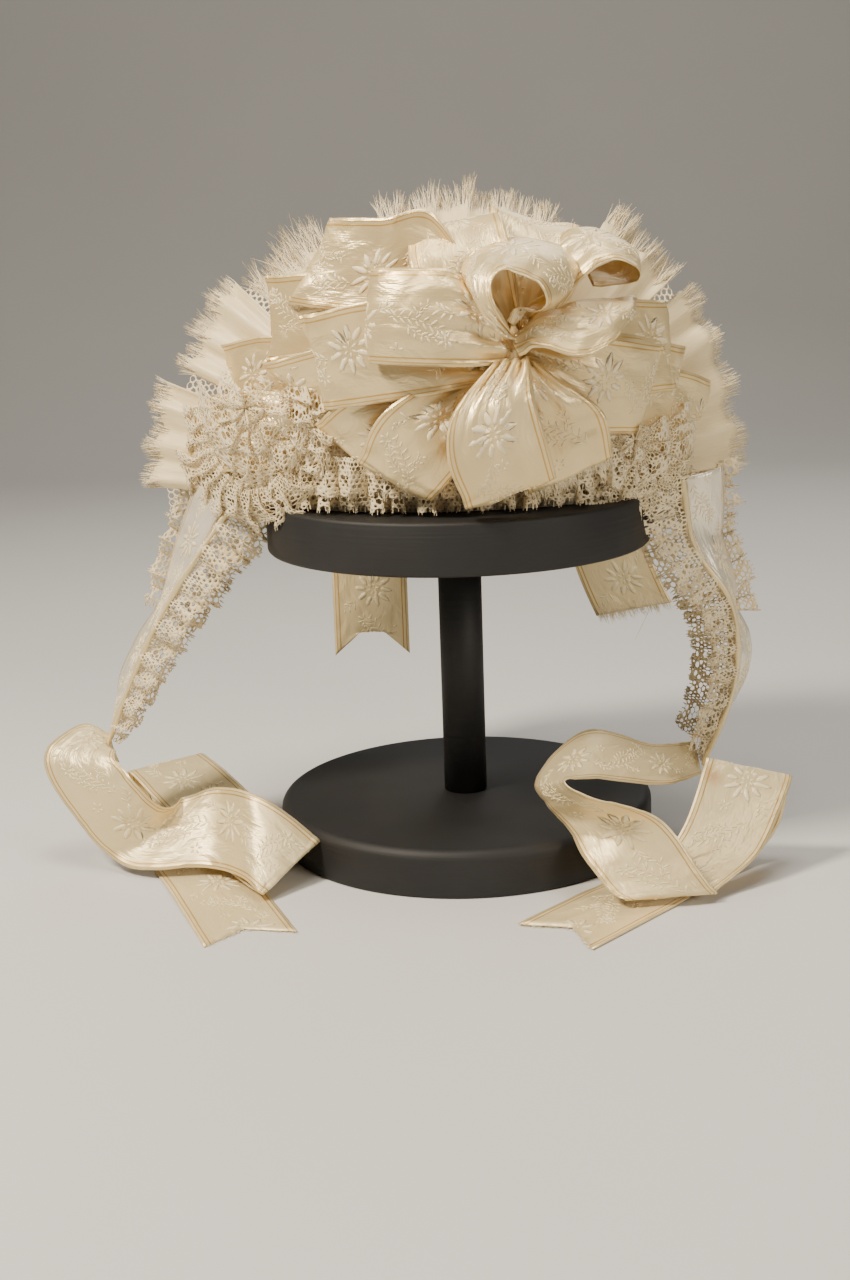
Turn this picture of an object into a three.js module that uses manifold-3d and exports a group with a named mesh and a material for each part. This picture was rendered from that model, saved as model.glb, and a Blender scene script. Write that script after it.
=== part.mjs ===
// A nineteenth-century silk and lace bonnet on its turned display stand, in millimetres.
// +Z is up, the face opening looks along -Y, and the origin is under the middle of the stand's base.
// Cloth, net and lace are thin closed walls. Each is worked out from a middle surface of two shares,
// u along the cloth and v across it, and whatever touches a neighbour is trimmed clear of it by GAP.
import * as THREE from "three";
import { mergeVertices } from "three/addons/utils/BufferGeometryUtils.js";
import Module from "manifold-3d";

const wasm = await Module();
wasm.setup();

// Cloth
const CLOTH = 1.0;
const GAP = 0.35;
const SLIVER = 0.2;
const RIBBON_WIDTH = 40;
const LACE_WIDTH = 22;
const FRINGE_REACH = 40;

// Display stand
const DISC_RADIUS = 90;
const DISC_THICKNESS = 23.5;
const BASE_RADIUS = 90;
const BASE_THICKNESS = 22;
const BASE_EDGE = 5;
const DISC_EDGE = 1.5;
const POST_RADIUS = 10.3;
const STAND_HEIGHT = 168;
const ROUND_SIDES = 40;
const POST_SIDES = 24;

// Net crown: half an ellipsoid that stands on the disc
const CROWN_HALF_WIDTH = 100;
const CROWN_HALF_DEPTH = 74;
const CROWN_RISE = 115;
const CROWN_SETBACK = 12;
const CROWN_WALL = 1.5;
const CROWN_SIDES = 28;
const CROWN_RINGS = 6;
const CROWN_FOOT = STAND_HEIGHT + GAP;

// Bow: its knot is on the crown's front, right of the middle
const KNOT_RIGHT = 24;
const KNOT_RISE = 70;
const KNOT_HALF_WIDTH = 7;
const KNOT_HALF_HEIGHT = 9;
const KNOT_STANDS_OUT = 44;

// Lappets, from the crown's foot to the ties
const LAPPET_LEFT = { outward: 168, setback: -16, foot: 54 };
const LAPPET_RIGHT = { outward: 107, setback: -22, foot: 38 };
const LAPPET_BAND = 22;
const LAPPET_RIBBON = 22;

const IVORY = 0xefe2c4;
const LACE_CREAM = 0xe6dac0;
const FRINGE_CREAM = 0xe3d3ac;
const STAND_BLACK = 0x2b2b2d;

const vector = (x, y, z) => new THREE.Vector3(x, y, z);
const mix = (a, b, share) => a + (b - a) * share;
const radians = THREE.MathUtils.degToRad;
const curveThrough = (points) => new THREE.CatmullRomCurve3(points, false, "catmullrom", 0.5);

// The solid of a closed geometry, with its shared corners merged.
function solidOf(geometry) {
  const bare = geometry.clone();
  bare.deleteAttribute("normal");
  bare.deleteAttribute("uv");
  const merged = mergeVertices(bare, 1e-3);
  return new wasm.Manifold(
    new wasm.Mesh({
      numProp: 3,
      vertProperties: merged.getAttribute("position").array,
      triVerts: new Uint32Array(merged.index.array),
    }),
  );
}

// The geometry of a solid, for a mesh.
function geometryOf(solid) {
  const { vertProperties, triVerts, numProp } = solid.getMesh();
  const positions = new Float32Array((vertProperties.length / numProp) * 3);
  for (let i = 0; i < positions.length / 3; i++) {
    positions.set(vertProperties.subarray(i * numProp, i * numProp + 3), i * 3);
  }
  const geometry = new THREE.BufferGeometry();
  geometry.setAttribute("position", new THREE.BufferAttribute(positions, 3));
  geometry.setIndex(new THREE.BufferAttribute(new Uint32Array(triVerts), 1));
  return geometry;
}

// Moves each edge of a grid of points outwards by `grow`, in the surface.
function stretchEdges(rows, grow) {
  const push = (edge, inner) => edge.add(edge.clone().sub(inner).setLength(grow));
  const lastRow = rows.length - 1;
  const lastColumn = rows[0].length - 1;
  for (let j = 0; j <= lastColumn; j++) {
    push(rows[0][j], rows[1][j]);
    push(rows[lastRow][j], rows[lastRow - 1][j]);
  }
  for (const row of rows) {
    push(row[0], row[1]);
    push(row[lastColumn], row[lastColumn - 1]);
  }
}

// A closed wall of cloth round the middle surface surface(u, v), on a grid of along x across cells.
// It is joined from bands of a few cells, so a loop may touch itself. With `grow` it is that much
// bigger all round, to trim a neighbour with.
function clothWall(surface, along, across, band, grow) {
  const rows = [];
  for (let i = 0; i <= along; i++) {
    rows.push([]);
    for (let j = 0; j <= across; j++) rows[i].push(surface(i / along, j / across));
  }
  if (grow) stretchEdges(rows, grow);
  const half = CLOTH / 2 + grow;
  const faceRows = rows.map((row, i) =>
    row.map((point, j) => {
      const du = rows[Math.min(i + 1, along)][j].clone().sub(rows[Math.max(i - 1, 0)][j]);
      const dv = row[Math.min(j + 1, across)].clone().sub(row[Math.max(j - 1, 0)]);
      const normal = du.cross(dv).setLength(half);
      return { front: point.clone().add(normal), back: point.clone().sub(normal) };
    }),
  );
  if (grow) return cellHulls(faceRows);
  const bands = [];
  for (let start = 0; start < along; start += band) {
    bands.push(solidOf(closedBand(faceRows.slice(start, start + band + 1))));
  }
  return bands.length > 1 ? wasm.Manifold.union(bands) : bands[0];
}

// The join of the convex hulls of all cells: it holds at tight folds too, so it is what trims.
function cellHulls(rows) {
  const hulls = [];
  for (let i = 0; i + 1 < rows.length; i++) {
    for (let j = 0; j + 1 < rows[i].length; j++) {
      const corners = [rows[i][j], rows[i][j + 1], rows[i + 1][j], rows[i + 1][j + 1]];
      hulls.push(
        wasm.Manifold.hull(corners.flatMap(({ front, back }) => [front.toArray(), back.toArray()])),
      );
    }
  }
  return wasm.Manifold.union(hulls);
}

// The closed skin of a band of rows, each a list of front and back points.
function closedBand(rows) {
  const along = rows.length - 1;
  const across = rows[0].length - 1;
  const layer = (along + 1) * (across + 1);
  const positions = new Float32Array(layer * 6);
  const at = (i, j) => i * (across + 1) + j;
  rows.forEach((row, i) =>
    row.forEach(({ front, back }, j) => {
      positions.set(front.toArray(), at(i, j) * 3);
      positions.set(back.toArray(), (at(i, j) + layer) * 3);
    }),
  );
  const faces = [];
  const quad = (a, b, c, d) => faces.push(a, b, c, a, c, d);
  for (let i = 0; i < along; i++) {
    for (let j = 0; j < across; j++) {
      quad(at(i, j), at(i + 1, j), at(i + 1, j + 1), at(i, j + 1));
      quad(at(i, j) + layer, at(i, j + 1) + layer, at(i + 1, j + 1) + layer, at(i + 1, j) + layer);
    }
    quad(at(i + 1, 0), at(i, 0), at(i, 0) + layer, at(i + 1, 0) + layer);
    quad(at(i, across), at(i + 1, across), at(i + 1, across) + layer, at(i, across) + layer);
  }
  for (let j = 0; j < across; j++) {
    quad(at(0, j), at(0, j + 1), at(0, j + 1) + layer, at(0, j) + layer);
    quad(at(along, j), at(along, j) + layer, at(along, j + 1) + layer, at(along, j + 1));
  }
  const geometry = new THREE.BufferGeometry();
  geometry.setAttribute("position", new THREE.BufferAttribute(positions, 3));
  geometry.setIndex(faces);
  return geometry;
}

// The pieces so far, each with its solid and a maker of the same solid grown by a margin.
const pieces = [];
const overlaps = (a, b) =>
  [0, 1, 2].every((k) => a.min[k] <= b.max[k] && b.min[k] <= a.max[k]);

const largestBody = (solid) => solid.decompose().sort((a, b) => b.volume() - a.volume())[0];

// Adds a piece, trimmed clear of every earlier one; a sliver that a trim cuts loose is left off.
function addPiece(name, colour, roughness, make) {
  let solid = make(0);
  for (const earlier of pieces) {
    if (!overlaps(earlier.grown.boundingBox(), solid.boundingBox())) continue;
    solid = solid.subtract(earlier.grown);
  }
  const cleaned = geometryOf(largestBody(solid).asOriginal().simplify(SLIVER));
  pieces.push({ name, colour, roughness, solid: largestBody(solidOf(cleaned)), grown: make(GAP) });
}

const addCloth = (name, colour, surface, along, across, band = along) =>
  addPiece(name, colour, 0.6, (grow) => clothWall(surface, along, across, band, grow));

// Display stand: a turned base, a post and a disc, painted dull black
function turned(profile, sides, grow) {
  const points = profile.map(([radius, height]) => new THREE.Vector2(radius, height));
  const geometry = new THREE.LatheGeometry(points, sides);
  geometry.rotateX(Math.PI / 2);
  if (grow) {
    const position = geometry.getAttribute("position");
    const middle = (profile[0][1] + profile[profile.length - 1][1]) / 2;
    for (let i = 0; i < position.count; i++) {
      const radius = Math.hypot(position.getX(i), position.getY(i));
      const wider = radius > 1e-6 ? (radius + grow) / radius : 1;
      position.setXY(i, position.getX(i) * wider, position.getY(i) * wider);
      position.setZ(i, position.getZ(i) + Math.sign(position.getZ(i) - middle) * grow);
    }
  }
  return geometry;
}

// A disc's profile from its foot to its top, with a rounded upper edge.
function discProfile(radius, foot, top, edge) {
  const rounded = [0, 30, 60, 90].map((degrees) => [
    radius - edge + edge * Math.cos(radians(degrees)),
    top - edge + edge * Math.sin(radians(degrees)),
  ]);
  return [[0, foot], [radius - DISC_EDGE, foot], [radius, foot + DISC_EDGE], ...rounded, [0, top]];
}

const baseProfile = discProfile(BASE_RADIUS, 0, BASE_THICKNESS, BASE_EDGE);
const discFoot = STAND_HEIGHT - DISC_THICKNESS;
const topProfile = discProfile(DISC_RADIUS, discFoot, STAND_HEIGHT, DISC_EDGE);
const postFoot = BASE_THICKNESS + GAP;
const postHead = discFoot - GAP;
const postProfile = [[0, postFoot], [POST_RADIUS, postFoot], [POST_RADIUS, postHead], [0, postHead]];
const addTurned = (name, profile, sides) =>
  addPiece(name, STAND_BLACK, 0.8, (grow) => solidOf(turned(profile, sides, grow)));
addTurned("stand_base", baseProfile, ROUND_SIDES);
addTurned("stand_post", postProfile, POST_SIDES);
addTurned("stand_disc", topProfile, ROUND_SIDES);

// Net crown: a hollow dome, open underneath
function crownDome(grow) {
  const outer = [];
  const inner = [];
  for (let i = 0; i <= CROWN_RINGS; i++) {
    const turn = (Math.PI / 2) * (i / CROWN_RINGS);
    const wall = CROWN_WALL + grow;
    outer.push([
      (CROWN_HALF_WIDTH + grow) * Math.cos(turn),
      (CROWN_RISE + grow) * Math.sin(turn) - (i ? 0 : grow),
    ]);
    inner.unshift([
      (CROWN_HALF_WIDTH - wall) * Math.cos(turn),
      (CROWN_RISE - wall) * Math.sin(turn) - (i ? 0 : grow),
    ]);
  }
  outer[CROWN_RINGS][0] = 0;
  inner[0][0] = 0;
  const points = [...outer, ...inner].map(([radius, height]) => new THREE.Vector2(radius, height));
  const geometry = new THREE.LatheGeometry([...points, points[0].clone()], CROWN_SIDES);
  geometry.rotateX(Math.PI / 2);
  geometry.scale(1, CROWN_HALF_DEPTH / CROWN_HALF_WIDTH, 1);
  geometry.translate(0, CROWN_SETBACK, CROWN_FOOT);
  return solidOf(geometry);
}

// How far back the crown's front is at a place seen from the front.
function crownFront(x, z) {
  const across = x / CROWN_HALF_WIDTH;
  const up = Math.max(0, z - CROWN_FOOT) / CROWN_RISE;
  const depth = Math.sqrt(Math.max(0, 1 - across * across - up * up));
  return CROWN_SETBACK - CROWN_HALF_DEPTH * depth;
}

// A bowl that lies on the crown's front in the middle and stays before it at the sides and the top.
function trimFront(x, z) {
  const across = x / CROWN_HALF_WIDTH;
  const up = (z - CROWN_FOOT) / CROWN_RISE - 0.32;
  return CROWN_SETBACK - CROWN_HALF_DEPTH * (1 - 0.61 * across * across - 0.8 * up * up);
}

// A place on the crown: clock is 0 at the right, 90 on top; tip is 0 at the front, 90 at the outline.
function onCrown(clock, tip, off) {
  const across = Math.sin(radians(tip)) * Math.cos(radians(clock));
  const up = Math.sin(radians(tip)) * Math.sin(radians(clock));
  const back = -Math.cos(radians(tip));
  const normal = vector(
    across / CROWN_HALF_WIDTH,
    back / CROWN_HALF_DEPTH,
    up / CROWN_RISE,
  ).normalize();
  return vector(
    CROWN_HALF_WIDTH * across,
    CROWN_SETBACK + CROWN_HALF_DEPTH * back,
    CROWN_FOOT + CROWN_RISE * up,
  ).addScaledVector(normal, off);
}

addPiece("crown_net", LACE_CREAM, 0.8, crownDome);

// Bow knot: the pinched silk that the loops are sewn under
const knotHeight = CROWN_FOOT + KNOT_RISE;
const knotBack = crownFront(KNOT_RIGHT, knotHeight) - GAP;
function knot(grow) {
  const geometry = new THREE.SphereGeometry(1, 14, 10);
  geometry.scale(
    KNOT_HALF_WIDTH + grow,
    KNOT_STANDS_OUT / 2 + grow,
    KNOT_HALF_HEIGHT + grow,
  );
  geometry.translate(KNOT_RIGHT, knotBack - KNOT_STANDS_OUT / 2, knotHeight);
  return solidOf(geometry);
}
addPiece("bow_knot", IVORY, 0.45, knot);

// The middle surface of a ribbon through stations, each with its middle and its way across.
function ribbonSurface(stations, curl = 0) {
  const middle = curveThrough(stations.map((station) => station.middle));
  const across = curveThrough(stations.map((station) => station.across));
  const width = curveThrough(stations.map((station) => vector(station.width, 0, 0)));
  return (u, v) => {
    const way = across.getPoint(u).normalize();
    const heading = middle.getTangent(u);
    const normal = heading.clone().cross(way).normalize();
    const bow = 1 - 4 * (v - 0.5) * (v - 0.5);
    return middle
      .getPoint(u)
      .addScaledVector(way, (v - 0.5) * width.getPoint(u).x)
      .addScaledVector(normal, curl * bow);
  };
}

// A place in the bow, in ribbon widths right of and above the knot; out is off the trimmings' bowl.
function bowStation([right, up, out, turn, width = 1, lean = 0]) {
  const x = KNOT_RIGHT + right * RIBBON_WIDTH;
  const z = knotHeight + up * RIBBON_WIDTH;
  return {
    middle: vector(x, trimFront(x, z) - out * RIBBON_WIDTH, z),
    across: vector(
      Math.cos(radians(turn)) * Math.cos(radians(lean)),
      -Math.sin(radians(lean)),
      Math.sin(radians(turn)) * Math.cos(radians(lean)),
    ),
    width: width * RIBBON_WIDTH,
  };
}

// A loop of ribbon: out along its rows to the tip, round the fold, and part of the way back.
function loopStations({ open, rows }) {
  const out = rows.map(bowStation);
  const tip = out[out.length - 1];
  const before = out[out.length - 2];
  const heading = tip.middle.clone().sub(before.middle).normalize();
  const depth = open * RIBBON_WIDTH;
  const fold = {
    ...tip,
    middle: tip.middle
      .clone()
      .addScaledVector(heading, depth * 0.6)
      .add(vector(0, depth * 0.5, 0)),
  };
  const under = out.slice(1).map((station) => ({
    ...station,
    middle: station.middle.clone().add(vector(0, depth, 0)),
  }));
  return [...out, fold, ...under.reverse()];
}

// Loops from the front of the bow to the back. Row columns: right and up of the knot and out from
// the bowl in ribbon widths, turn of the way across in degrees, width share, lean in degrees.
const BOW_LOOPS = [
  {
    name: "bow_loop_front_left",
    open: 0.2,
    rows: [
      [0.05, 0.0, 1.0, 112, 0.6],
      [-0.14, 0.26, 1.1, 106],
      [-0.72, 0.36, 1.15, 90],
      [-1.34, 0.38, 1.1, 90],
    ],
  },
  {
    name: "bow_loop_lower_middle",
    open: 0.2,
    rows: [
      [-0.02, -0.1, 0.9, 5, 0.6],
      [-0.24, -0.66, 1.0, 26],
      [-0.08, -1.32, 0.9, 20],
    ],
  },
  {
    name: "bow_loop_roll",
    open: 0.25,
    rows: [
      [0.05, 0.1, 0.85, 25, 0.7, 35],
      [-0.35, 0.66, 1.0, 30, 0.9, 45],
      [-0.05, 1.02, 1.05, 35, 1, 50],
      [0.44, 0.84, 1.0, 40, 1, 50],
    ],
  },
  {
    name: "bow_loop_right",
    open: 0.22,
    rows: [
      [0.06, 0.02, 0.75, 100, 0.5],
      [0.5, 0.22, 0.9, 96, 0.8],
      [0.95, 0.36, 0.85, 80],
      [1.34, 0.44, 0.7, 66],
    ],
  },
  {
    name: "bow_loop_middle_left",
    open: 0.18,
    rows: [
      [-0.04, -0.1, 0.65, 100, 0.6],
      [-1.1, 0.04, 0.75, 97],
      [-1.95, -0.07, 0.7, 103],
    ],
  },
  {
    name: "bow_loop_lower_right",
    open: 0.18,
    rows: [
      [0.14, -0.08, 0.6, 80, 0.6],
      [0.82, -0.38, 0.62, 75],
      [1.42, -0.5, 0.5, 71],
    ],
  },
  {
    name: "bow_end_bottom",
    open: 0,
    rows: [
      [0.12, -0.1, 0.66, -15, 0.5],
      [0.42, -0.72, 0.68, 10],
      [0.6, -1.36, 0.58, 24],
    ],
  },
  {
    name: "bow_loop_bottom_left",
    open: 0.15,
    rows: [
      [-0.1, -0.14, 0.52, -30, 0.6],
      [-0.86, -0.8, 0.55, -30],
      [-1.2, -1.26, 0.48, -30, 0.9],
    ],
  },
  {
    name: "bow_loop_upper_left",
    open: 0.2,
    rows: [
      [-0.02, 0.16, 0.55, 100, 0.6],
      [-0.8, 0.88, 0.62, 82],
      [-1.42, 0.88, 0.66, 74],
      [-2.0, 0.92, 0.58, 62],
    ],
  },
  {
    name: "bow_loop_low_left",
    open: 0.16,
    rows: [
      [-0.06, -0.12, 0.36, 110, 0.6],
      [-1.36, -0.34, 0.38, 112],
      [-2.26, -0.45, 0.34, 125, 0.95],
    ],
  },
  {
    name: "bow_loop_hem_left",
    open: 0.17,
    rows: [
      [-0.12, -0.16, 0.3, 140, 0.6],
      [-1.26, -0.74, 0.34, 140],
      [-1.72, -1.02, 0.3, 138, 0.9],
    ],
  },
  {
    name: "bow_loop_top_right",
    open: 0.24,
    rows: [
      [0.1, 0.14, 0.45, -8, 0.6],
      [0.3, 0.78, 0.5, -8],
      [0.4, 1.4, 0.36, -12],
    ],
  },
  {
    name: "bow_loop_top_left",
    open: 0.24,
    rows: [
      [-0.05, 0.14, 0.3, 6, 0.6],
      [-0.5, 0.86, 0.42, 8],
      [-0.62, 1.46, 0.32, 8],
    ],
  },
  {
    name: "bow_loop_far_top_right",
    open: 0.27,
    rows: [
      [0.12, 0.1, 0.3, -40, 0.6],
      [0.86, 0.7, 0.42, -40],
      [1.2, 1.0, 0.36, -39],
    ],
  },
  {
    name: "bow_loop_far_right",
    open: 0.14,
    rows: [
      [0.14, -0.02, 0.3, 95, 0.5],
      [0.86, -0.06, 0.4, 95],
      [1.66, -0.1, 0.34, 97],
    ],
  },
  {
    name: "bow_loop_side_right",
    open: 0.14,
    rows: [
      [0.14, -0.1, 0.16, 85, 0.5],
      [0.96, -0.38, 0.24, 80],
      [1.76, -0.58, 0.2, 76],
    ],
  },
  {
    name: "bow_loop_side_left",
    open: 0.14,
    rows: [
      [-0.12, 0.06, 0.2, 92, 0.5],
      [-1.4, 0.3, 0.26, 90],
      [-2.5, 0.33, 0.22, 90, 0.95],
    ],
  },
];

const LOOP_CELLS_A_STATION = 2;
for (const loop of BOW_LOOPS) {
  const stations = loop.open ? loopStations(loop) : loop.rows.map(bowStation);
  const cells = (stations.length - 1) * LOOP_CELLS_A_STATION;
  addCloth(loop.name, IVORY, ribbonSurface(stations, CLOTH), cells, 2, LOOP_CELLS_A_STATION);
}

// Side ribbons: short loops sewn straight on the crown, seen beside the bow.
// Row columns: clock on the crown and tip from its front in degrees, off it in ribbon widths, turn.
const SIDE_LOOPS = [
  {
    name: "side_loop_right",
    rows: [
      [22, 44, 0.0, 80],
      [20, 62, 0.3, 78],
      [14, 80, 0.42, 76],
    ],
  },
  {
    name: "side_loop_left",
    rows: [
      [140, 50, 0.0, 96],
      [148, 62, 0.28, 94],
      [155, 78, 0.42, 92],
    ],
  },
  {
    name: "side_loop_low_left",
    rows: [
      [158, 50, 0.0, 96],
      [162, 62, 0.34, 84],
      [166, 76, 0.5, 78],
    ],
  },
];
const SIDE_LOOP_OPEN = 0.12;

function sideLoopSurface(rows) {
  const place = ([clock, tip, off, turn], under) => ({
    middle: onCrown(clock, tip, CLOTH / 2 + (off - under) * RIBBON_WIDTH),
    across: vector(Math.cos(radians(turn)), 0, Math.sin(radians(turn))),
    width: RIBBON_WIDTH * 0.9,
  });
  const tip = rows[rows.length - 1];
  const fold = [tip[0], tip[1] + 4, tip[2], tip[3]];
  return ribbonSurface([
    ...rows.map((row) => place(row, 0)),
    place(fold, SIDE_LOOP_OPEN / 2),
    place(tip, SIDE_LOOP_OPEN),
    place(rows[1], SIDE_LOOP_OPEN),
  ]);
}
for (const loop of SIDE_LOOPS) {
  addCloth(loop.name, IVORY, sideLoopSurface(loop.rows), 10, 2, LOOP_CELLS_A_STATION);
}

// Frayed silk ruches: pleated fans sewn to the crown, whose frayed edge stands out all round.
// Columns: clock from and to in degrees, tip of the seam on the crown, reach in FRINGE_REACH past
// the crown's outline, setback of the edge in mm behind the crown's middle, pleats.
const FRINGES = [
  { name: "fringe_right", from: 3, to: 38, seam: 62, reach: 0.85, setback: -4, pleats: 4 },
  { name: "fringe_top_right", from: 41, to: 58, seam: 56, reach: 0.86, setback: -10, pleats: 2 },
  { name: "fringe_top", from: 62, to: 106, seam: 64, reach: 0.5, setback: 6, pleats: 5 },
  { name: "fringe_top_left", from: 118, to: 135, seam: 56, reach: 0.68, setback: -8, pleats: 3 },
  { name: "fringe_upper_left", from: 137, to: 156, seam: 60, reach: 0.92, setback: -4, pleats: 3 },
  { name: "fringe_left", from: 159, to: 178, seam: 62, reach: 1.12, setback: -2, pleats: 3 },
];
const PLEAT_DEPTH = 2.2;

// Runs from a seam on the crown out to an edge that is `reach` past the crown's outline.
function fanSurface({ from, to, seam, reach, setback, pleats }) {
  return (u, v) => {
    const clock = mix(to, from, u);
    const root = onCrown(clock, seam, CLOTH / 2 + GAP);
    const past = reach * FRINGE_REACH;
    const edge = onCrown(clock, 90, past);
    edge.y = CROWN_SETBACK + setback;
    const wave = PLEAT_DEPTH * v * (1 + Math.sin(2 * Math.PI * pleats * u));
    const normal = onCrown(clock, seam, 1).sub(onCrown(clock, seam, 0));
    return root.lerp(edge, v).addScaledVector(normal, wave);
  };
}
for (const fringe of FRINGES) {
  addCloth(fringe.name, FRINGE_CREAM, fanSurface(fringe), fringe.pleats * 4, 2);
}

// Lace puffs: bunches of wide lace on the crown's lower sides, and the gathered edging of the brim.
// Columns: left and right edge and foot and head in mm, off the bowl in mm, ripples and their depth.
const LACE_PUFFS = [
  { name: "lace_puff_left", left: -1.22, right: -0.58, foot: -0.02, head: 0.44, off: 9, ripples: 4 },
  { name: "lace_puff_right", left: 0.46, right: 1.08, foot: -0.14, head: 0.3, off: 7, ripples: 4 },
];
const RIPPLE_DEPTH = 2;

function puffSurface({ left, right, foot, head, off, ripples }) {
  return (u, v) => {
    const bulge = Math.sin(Math.PI * v) * Math.sin(Math.PI * u);
    const x = mix(left, right, u) * CROWN_HALF_WIDTH;
    const slope = 0.12 * Math.sign(left) * (u - 0.5);
    const z = CROWN_FOOT + (mix(foot, head, v) - slope) * CROWN_RISE;
    const wave = RIPPLE_DEPTH * Math.sin(2 * Math.PI * (ripples * u + 0.6 * v));
    return vector(x, trimFront(x, z) - off - 4 * bulge - wave, z);
  };
}
for (const puff of LACE_PUFFS) {
  addCloth(puff.name, LACE_CREAM, puffSurface(puff), 14, 4);
}

// Gathered lace: hangs from a heading line, deeper waves towards its free scalloped edge.
// heading(u) is a point of the seam, fall(u) the way the lace falls, out(u) the way its waves stand.
function gatheredLace({ heading, fall, out, width, gathers, depth }) {
  return (u, v) => {
    const wave = depth * Math.sin(2 * Math.PI * gathers * u) * mix(0.25, 1, v);
    return heading(u)
      .addScaledVector(fall(u), width(u) * v)
      .addScaledVector(out(u), wave);
  };
}

// Brim edging: two tiers along the forehead, standing on the disc
const BRIM_TIERS = [
  { name: "brim_lace_upper", half: 0.84, foot: 8, off: 10, gathers: 13 },
  { name: "brim_lace_lower", half: 0.82, foot: 1.2, off: 5, gathers: 14 },
];
const BRIM_GATHER_DEPTH = 2;
const CELLS_A_GATHER = 3;
const BRIM_SHARE = 0.8;
for (const tier of BRIM_TIERS) {
  const width = LACE_WIDTH * BRIM_SHARE;
  const heading = (u) => {
    const x = mix(-tier.half, tier.half, u) * CROWN_HALF_WIDTH;
    const z = CROWN_FOOT + tier.foot + width;
    return vector(x, crownFront(x, CROWN_FOOT) - tier.off, z);
  };
  const surface = gatheredLace({
    heading,
    fall: () => vector(0, -0.12, -1).normalize(),
    out: () => vector(0, -1, 0),
    width: () => width,
    gathers: tier.gathers,
    depth: BRIM_GATHER_DEPTH,
  });
  addCloth(tier.name, LACE_CREAM, surface, tier.gathers * CELLS_A_GATHER, 1);
}

// Lappets: a net band down each cheek, edged with gathered lace, with a ribbon laid along it
// Row columns: mm outward of the lappet's foot, share of its drop.
const LAPPETS = [
  {
    label: "left",
    side: -1,
    place: LAPPET_LEFT,
    seam: [
      [-70, 0],
      [-46, 0.26],
      [-26, 0.51],
      [-10, 0.77],
      [2, 1],
    ],
    narrowing: 0.45,
  },
  {
    label: "right",
    side: 1,
    place: LAPPET_RIGHT,
    seam: [
      [-5, 0],
      [1, 0.23],
      [17, 0.42],
      [21, 0.58],
      [18, 0.76],
      [5, 1],
    ],
    narrowing: 0.8,
  },
];
const LAPPET_HEAD = CROWN_FOOT + 6;
// Columns: setback of the seam in LAPPET_BAND, lean back of its fall, way it falls (1 is inward),
// width at the head and at its end in LACE_WIDTH, share of the lappet it runs along, gathers.
const LAPPET_LACES = [
  { name: "front_lace", back: -0.07, lean: -0.3, way: 1, head: 0.95, end: 0.72, until: 0.97, gathers: 9 },
  { name: "back_lace", back: 1.04, lean: 0.2, way: 1, head: 1.2, end: 0.9, until: 0.97, gathers: 8 },
  { name: "outer_lace", back: 1.1, lean: -0.15, way: -1, head: 1.5, end: 0.7, until: 0.5, gathers: 5 },
];
const LAPPET_GATHER_DEPTH = 1.8;

function lappet({ label, side, place, seam, narrowing }) {
  const drop = LAPPET_HEAD - place.foot;
  const route = curveThrough(
    seam.map(([outward, share]) =>
      vector(side * (place.outward + outward), place.setback, LAPPET_HEAD - drop * share),
    ),
  );
  const taper = (u) => mix(1, narrowing, u * u);
  const inward = (u) =>
    vector(0, 1, 0).cross(route.getTangent(u)).multiplyScalar(side).normalize();
  const band = (u, v) => route.getPoint(u).add(vector(0, LAPPET_BAND * taper(u) * v + CLOTH, 0));
  addCloth(`lappet_band_${label}`, LACE_CREAM, band, 8, 1);

  // The ribbon faces forward at the head, and lower down turns back along the band.
  const ribbon = (u, v) => {
    const wave = Math.sin(Math.PI * THREE.MathUtils.clamp((u - 0.5) / 0.4, 0, 1));
    const turn = radians(mix(15, 76, Math.min(1, u / 0.45)) - 16 * wave);
    const outward = inward(u).multiplyScalar(-1);
    return route
      .getPoint(u)
      .addScaledVector(outward, CLOTH / 2 + GAP)
      .addScaledVector(outward, Math.cos(turn) * v * LAPPET_RIBBON * taper(u))
      .add(vector(0, Math.sin(turn) * v * LAPPET_RIBBON * taper(u), 0));
  };
  addCloth(`lappet_ribbon_${label}`, IVORY, ribbon, 14, 2);

  for (const { name, back, lean, way, head, end, until, gathers } of LAPPET_LACES) {
    const setback = (u) => back * LAPPET_BAND * (back > 0 ? taper(u) : 1);
    const surface = gatheredLace({
      heading: (u) =>
        route
          .getPoint(u * until)
          .add(vector(0, setback(u * until), 0))
          .addScaledVector(inward(u * until), way * (CLOTH / 2 + GAP)),
      fall: (u) =>
        inward(u * until).multiplyScalar(way).add(vector(0, lean, 0)).normalize(),
      out: (u) => vector(0, -1, 0).addScaledVector(inward(u * until), lean).normalize(),
      width: (u) => LACE_WIDTH * mix(head, end, u) * taper(u * until),
      gathers,
      depth: LAPPET_GATHER_DEPTH,
    });
    addCloth(`lappet_${name}_${label}`, LACE_CREAM, surface, gathers * CELLS_A_GATHER, 1);
  }
}
LAPPETS.forEach(lappet);

// A ribbon that trails over the table. Row columns: middle x, y, z and way across x, y, z, all in
// ribbon widths from the lappet's foot on the table, and the width share.
function trailingRibbon(lappetFoot, side, rows) {
  const origin = vector(side * lappetFoot.outward, lappetFoot.setback, CLOTH / 2 + GAP);
  return rows.map(([x, y, z, acrossX, acrossY, acrossZ, width = 1]) => ({
    middle: vector(x, y, z).multiplyScalar(RIBBON_WIDTH).add(origin),
    across: vector(acrossX, acrossY, acrossZ).normalize(),
    width: width * RIBBON_WIDTH,
  }));
}

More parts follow.
